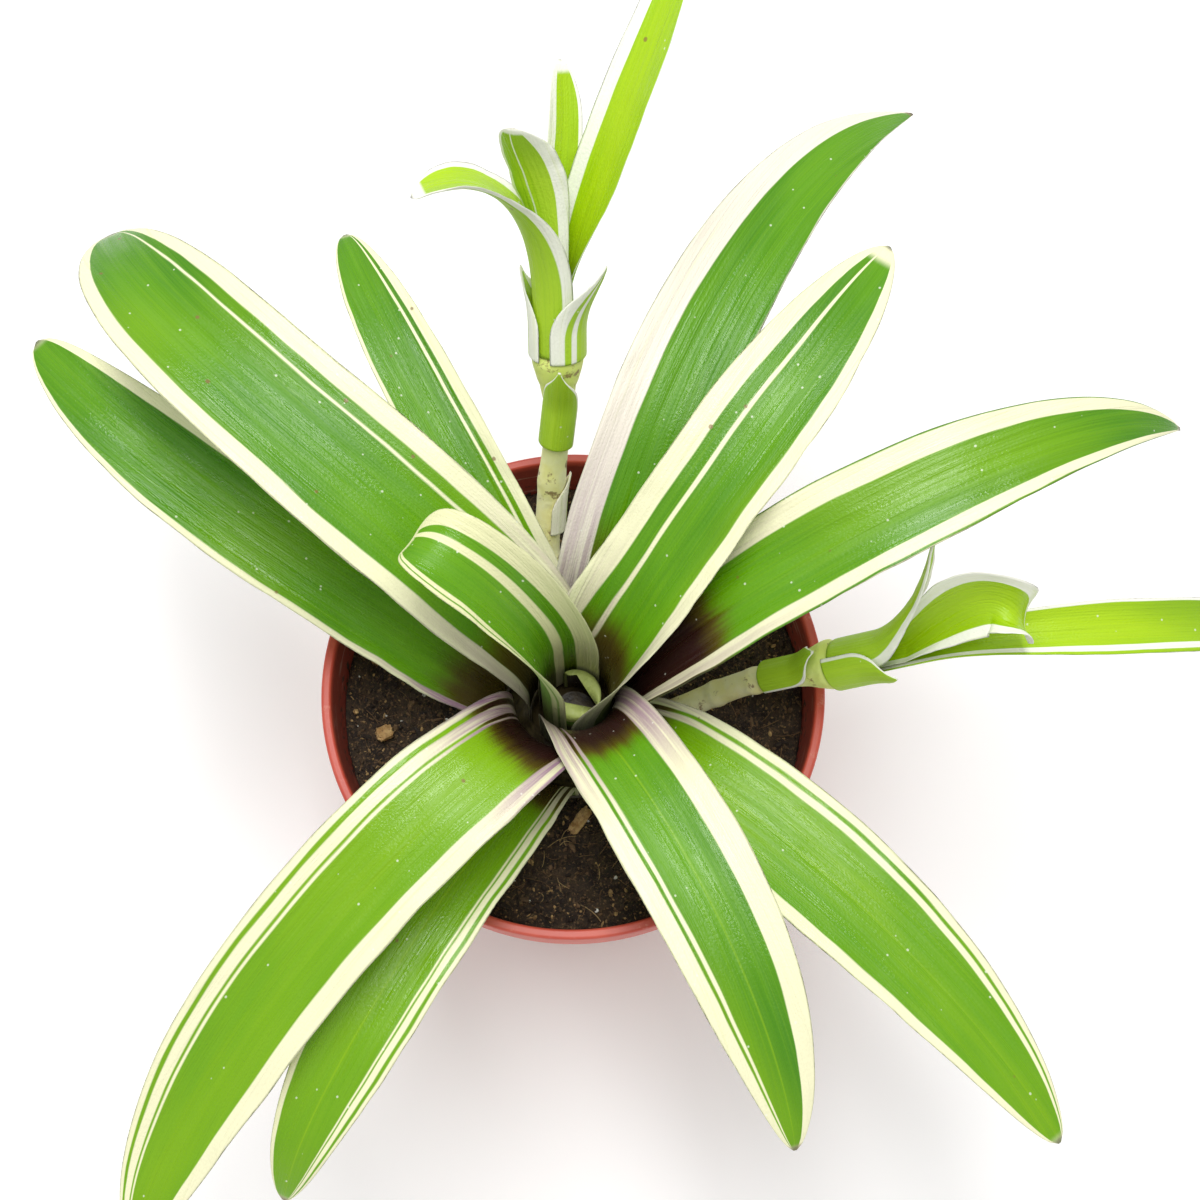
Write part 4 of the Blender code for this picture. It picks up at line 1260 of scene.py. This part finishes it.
def soil_height(x, y):
    """Height of the peat's surface at a place."""
    from_wall = SOIL_RADIUS - math.hypot(x, y)
    sunk = max(1 - from_wall / SOIL_EDGE_WIDTH, 0) ** 2 * SOIL_EDGE_DROP
    lump = noise.fractal(Vector((x, y, 0)) * 130, 0.9, 2.1, 3) * LUMP_HEIGHT
    grit = noise.fractal(Vector((x, y, 0.3)) * 700, 0.8, 2.1, 2) * GRIT_HEIGHT
    return SOIL_TOP - sunk - LUMP_HEIGHT * 0.5 + lump + grit


def soil_bed():
    edge = SOIL_TOP - SOIL_EDGE_DROP - SOIL_EDGE_DEPTH
    side = straight((POLE_GAP, SOIL_BOTTOM), (inner_radius(SOIL_BOTTOM) - SOIL_GAP, SOIL_BOTTOM), 4)
    side += at_heights(lambda height: inner_radius(height) - SOIL_GAP, SOIL_BOTTOM + MM, edge, 8)
    top = straight((SOIL_RADIUS, SOIL_TOP), (SOIL_POLE_GAP, SOIL_TOP), 84)
    bed = turn_profile("soil_bed", side, top, SOIL_TURNS)
    for vertex in bed.data.vertices:
        if vertex.co.z > edge + 0.1 * MM:
            vertex.co.z = soil_height(vertex.co.x, vertex.co.y)
    return bed


bed = soil_bed()
report("soil bed", bed)

# %% Peat finishes
PEAT, PEAT_BROWN, PEAT_GRIT = (0.015, 0.008, 0.005), (0.062, 0.036, 0.018), (0.230, 0.135, 0.062)


def peat_finish():
    finish, tree, shader = new_finish("peat_finish")
    place = own_place(tree)
    clump = grain(tree, place, 220, 4.0, 0.7)
    grit = grain(tree, place, 1500, 4.0, 0.7)
    colour = blend(clump.smooth(0.35, 0.70), PEAT, PEAT_BROWN)
    colour = blend(grit.smooth(0.54, 0.66) * 0.85, colour, PEAT_GRIT)
    put(tree, shader, {
        "Base Color": colour, "Roughness": 0.85 - grit * 0.25,
        "Normal": bump(tree, grit + clump, 0.9 * MM, 0.9),
    })
    return finish


def crumb_finish(name, dark, tan, gold):
    """Colour by each crumb's own tone: mostly dark, some tan, a few golden."""
    finish, tree, shader = new_finish(name)
    place = own_place(tree)
    tone = attribute(tree, "tone")
    grit = grain(tree, place, 2600, 3.0, 0.6)
    colour = blend(tone.smooth(0.30, 0.75), dark, tan)
    colour = blend(tone.smooth(0.84, 0.97), colour, gold)
    colour = blend(grit.smooth(0.35, 0.75) * 0.45, colour, dark)
    put(tree, shader, {
        "Base Color": colour, "Roughness": 0.75, "Normal": bump(tree, grit, 0.3 * MM, 0.8),
    })
    return finish


bed.data.shade_smooth()
bed.data.materials.append(peat_finish())
settle(bed, "soil", slot="peat")

# %% Scattering recipes
SCATTER_INPUTS = {
    "Density": "Float", "Smallest": "Vector", "Largest": "Vector", "Tilt": "Float",
    "Clear radius": "Float", "Clear centre": "Vector", "Seed": "Int", "Finish": "Material",
}


def random_value(tree, kind, low, high, seed):
    """A random number or vector for each point."""
    ending = "" if kind == "FLOAT_VECTOR" else "_001"
    inputs = {"Min" + ending: low, "Max" + ending: high, "Seed": seed}
    return tree.node("FunctionNodeRandomValue", {"data_type": kind}, inputs, "Value" + ending)


def crumb_shape(tree):
    return tree.node("GeometryNodeMeshIcoSphere", None, {"Radius": 1.0, "Subdivisions": 1}, "Mesh")


def fibre_shape(tree):
    """A slightly bent thread of length 2, as thin as its scale makes it."""
    bend = {"Start": (-1, 0, 0), "Middle": (0.1, 0.45, 0.35), "End": (1, 0, 0), "Resolution": 5}
    thread = tree.node("GeometryNodeCurveQuadraticBezier", None, bend)
    section = tree.node("GeometryNodeCurvePrimitiveCircle", None, {"Resolution": 4, "Radius": 0.035})
    inputs = {"Curve": thread, "Profile Curve": section, "Fill Caps": True}
    return tree.node("GeometryNodeCurveToMesh", None, inputs)


def scatter_recipe(name, shape):
    tree, g = new_recipe(name, SCATTER_INPUTS)
    away = (tree.node("GeometryNodeInputPosition") - g["Clear centre"]).length()
    clear = away.smooth(g["Clear radius"], g["Clear radius"] + 0.0004)
    inputs = {"Mesh": g["Geometry"], "Density": g["Density"] * clear, "Seed": g["Seed"]}
    points = tree.node("GeometryNodeDistributePointsOnFaces", None, inputs, "Points")
    tone = random_value(tree, "FLOAT", 0.0, 1.0, g["Seed"] + 5)
    toned = tree.node("GeometryNodeStoreNamedAttribute", {"data_type": "FLOAT", "domain": "POINT"},
                      {"Geometry": points, "Name": "tone", "Value": tone})
    most = tree.node("ShaderNodeCombineXYZ", None, {0: g["Tilt"], 1: g["Tilt"], 2: 2 * math.pi})
    least = tree.node("ShaderNodeCombineXYZ", None, {0: g["Tilt"] * -1, 1: g["Tilt"] * -1, 2: 0.0})
    inputs = {
        "Points": toned, "Instance": shape(tree),
        "Rotation": random_value(tree, "FLOAT_VECTOR", least, most, g["Seed"] + 1),
        "Scale": random_value(tree, "FLOAT_VECTOR", g["Smallest"], g["Largest"], g["Seed"] + 2),
    }
    finish_recipe(tree, tree.node("GeometryNodeInstanceOnPoints", None, inputs), g["Finish"])
    return tree


def top_carrier(name, inset):
    """A plain mesh of the peat's surface to scatter on."""
    steps, rings = 120, 50
    points = []
    for k in range(rings + 1):
        radius = (SOIL_RADIUS - inset) * (k + 0.02) / (rings + 0.02)
        for i in range(steps):
            angle = 2 * math.pi * i / steps
            x, y = radius * math.cos(angle), radius * math.sin(angle)
            points.append((x, y, soil_height(x, y)))
    faces = []
    for k in range(rings):
        for i in range(steps):
            j = (i + 1) % steps
            faces.append((k * steps + i, (k + 1) * steps + i, (k + 1) * steps + j, k * steps + j))
    mesh = bpy.data.meshes.new(name)
    mesh.from_pydata(points, [], faces)
    return mesh


CRUMBS = scatter_recipe("crumbs", crumb_shape)
FIBRES = scatter_recipe("fibres", fibre_shape)
# Dark, middle and light tone of each kind.
TONES = {
    "crumb_finish": ((0.020, 0.011, 0.007), (0.165, 0.095, 0.045), (0.52, 0.33, 0.14)),
    "fibre_finish": ((0.06, 0.030, 0.014), (0.22, 0.125, 0.055), (0.50, 0.34, 0.16)),
    "white_grain_finish": ((0.62, 0.60, 0.55), (0.80, 0.79, 0.74), (0.85, 0.84, 0.80)),
}
CRUMB, FIBRE, GRAIN = (crumb_finish(name, *tones) for name, tones in TONES.items())
SEED_STEP = 11
# Name: recipe, finish, number per square metre, smallest and largest scale in mm, tilt, inset in mm.
LITTER = {
    "soil_crumbs_fine": (CRUMBS, CRUMB, 700000, (0.20, 0.14, 0.12), (1.0, 0.45, 0.40), 3.0, 0.8),
    "soil_crumbs_coarse": (CRUMBS, CRUMB, 70000, (0.7, 0.35, 0.3), (2.1, 0.9, 0.8), 3.0, 2.0),
    "soil_fibres": (FIBRES, FIBRE, 110000, (0.8, 0.9, 1.2), (4.6, 3.0, 3.4), 0.5, 3.5),
    "soil_white_grains": (CRUMBS, GRAIN, 9000, (0.25, 0.25, 0.2), (0.85, 0.65, 0.6), 3.0, 2.0),
}
for seed, (name, row) in enumerate(LITTER.items(), start=3):
    recipe, finish, density, smallest, largest, tilt, inset = row
    values = {
        "Density": float(density), "Smallest": Vector(smallest) * MM, "Largest": Vector(largest) * MM,
        "Tilt": tilt, "Clear radius": STEM_RADIUS + 0.5 * MM, "Seed": seed * SEED_STEP, "Finish": finish,
        "Clear centre": ROSETTE_BASE,
    }
    litter = grow(name, recipe, values, top_carrier(name + "_carrier", inset * MM))
    settle(litter, slot="peat")
    print(name, len(litter.data.polygons), "faces")

# %% [markdown]
# ## Bark chips and the stem
#
# Three larger chips lie on the peat. A chip is split wood: long fibres, flat broken ends and
# rough edges. Each starts as a fine ball, is squared off, stretched to its solid's size, and
# ridged along its length. The stem between the sheaths keeps its solid and gets a corky finish.

# %% Chips
CHIPS = {
    "bark_chip_front": ((8.5, 3.4, 2.4), 55), "bark_chip_left": ((5.0, 4.0, 3.0), 20),
    "bark_chip_back_left": ((3.6, 3.0, 2.4), 70),
}
CHIP_SQUARENESS = 0.62
CHIP_FULLNESS = 0.40
BARK, BARK_PALE, BARK_CREVICE = (0.30, 0.150, 0.045), (0.56, 0.36, 0.16), (0.10, 0.045, 0.018)


def chip_finish():
    finish, tree, shader = new_finish("bark_finish")
    place = own_place(tree)
    blotch = grain(tree, place, 300, 4.0, 0.6)
    fibre = grain(tree, place, (2200, 900, 1800), 3.0, 0.6)
    colour = blend(blotch.smooth(0.35, 0.65), BARK, BARK_PALE)
    colour = blend(fibre.smooth(0.55, 0.75) * 0.7, colour, BARK_CREVICE)
    put(tree, shader, {
        "Base Color": colour, "Roughness": 0.8, "Normal": bump(tree, fibre + blotch, 0.4 * MM, 0.9),
    })
    return finish


def make_chip(name, size, turn, finish):
    low, high = (Vector(corner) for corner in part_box(name))
    bm = bmesh.new()
    bmesh.ops.create_icosphere(bm, subdivisions=5, radius=1.0)
    spin = Matrix.Rotation(math.radians(turn), 3, "Z")
    for vert in bm.verts:
        square = Vector(math.copysign(abs(c) ** CHIP_SQUARENESS, c) for c in vert.co)
        along_fibre = Vector((square.x * 0.8, square.y * 5, square.z * 5))
        ridge = noise.fractal(along_fibre + low * 500, 0.9, 2.0, 3) * 0.16
        chunk = noise.noise(square * 1.6 + low * 900) * 0.22
        square *= 1 + ridge + chunk
        scaled = Vector(c * width for c, width in zip(square, size)) * (CHIP_FULLNESS * MM)
        vert.co = spin @ scaled + (low + high) / 2
    chip = object_from(bm, name + "_split")
    chip.data.shade_smooth()
    chip.data.materials.append(finish)
    settle(chip, name, slot="bark")


CHIP_FINISH = chip_finish()
for name, (size, turn) in CHIPS.items():
    make_chip(name, size, turn, CHIP_FINISH)
print(len(CHIPS), "bark chips")

# %% Stem
CORK, CORK_PALE = (0.030, 0.020, 0.008), (0.090, 0.065, 0.025)


def stem_finish():
    finish, tree, shader = new_finish("stem_finish")
    place = own_place(tree)
    cork = grain(tree, place, (320, 320, 900), 4.0, 0.6)
    colour = blend(cork.smooth(0.35, 0.65), CORK, CORK_PALE)
    put(tree, shader, {
        "Base Color": colour, "Roughness": 0.30 + cork * 0.3, "Normal": bump(tree, cork, 0.5 * MM, 0.8),
    })
    return finish


frame["nodes"]["stem"].material_slots[0].material = stem_finish()
print("stem finish set")
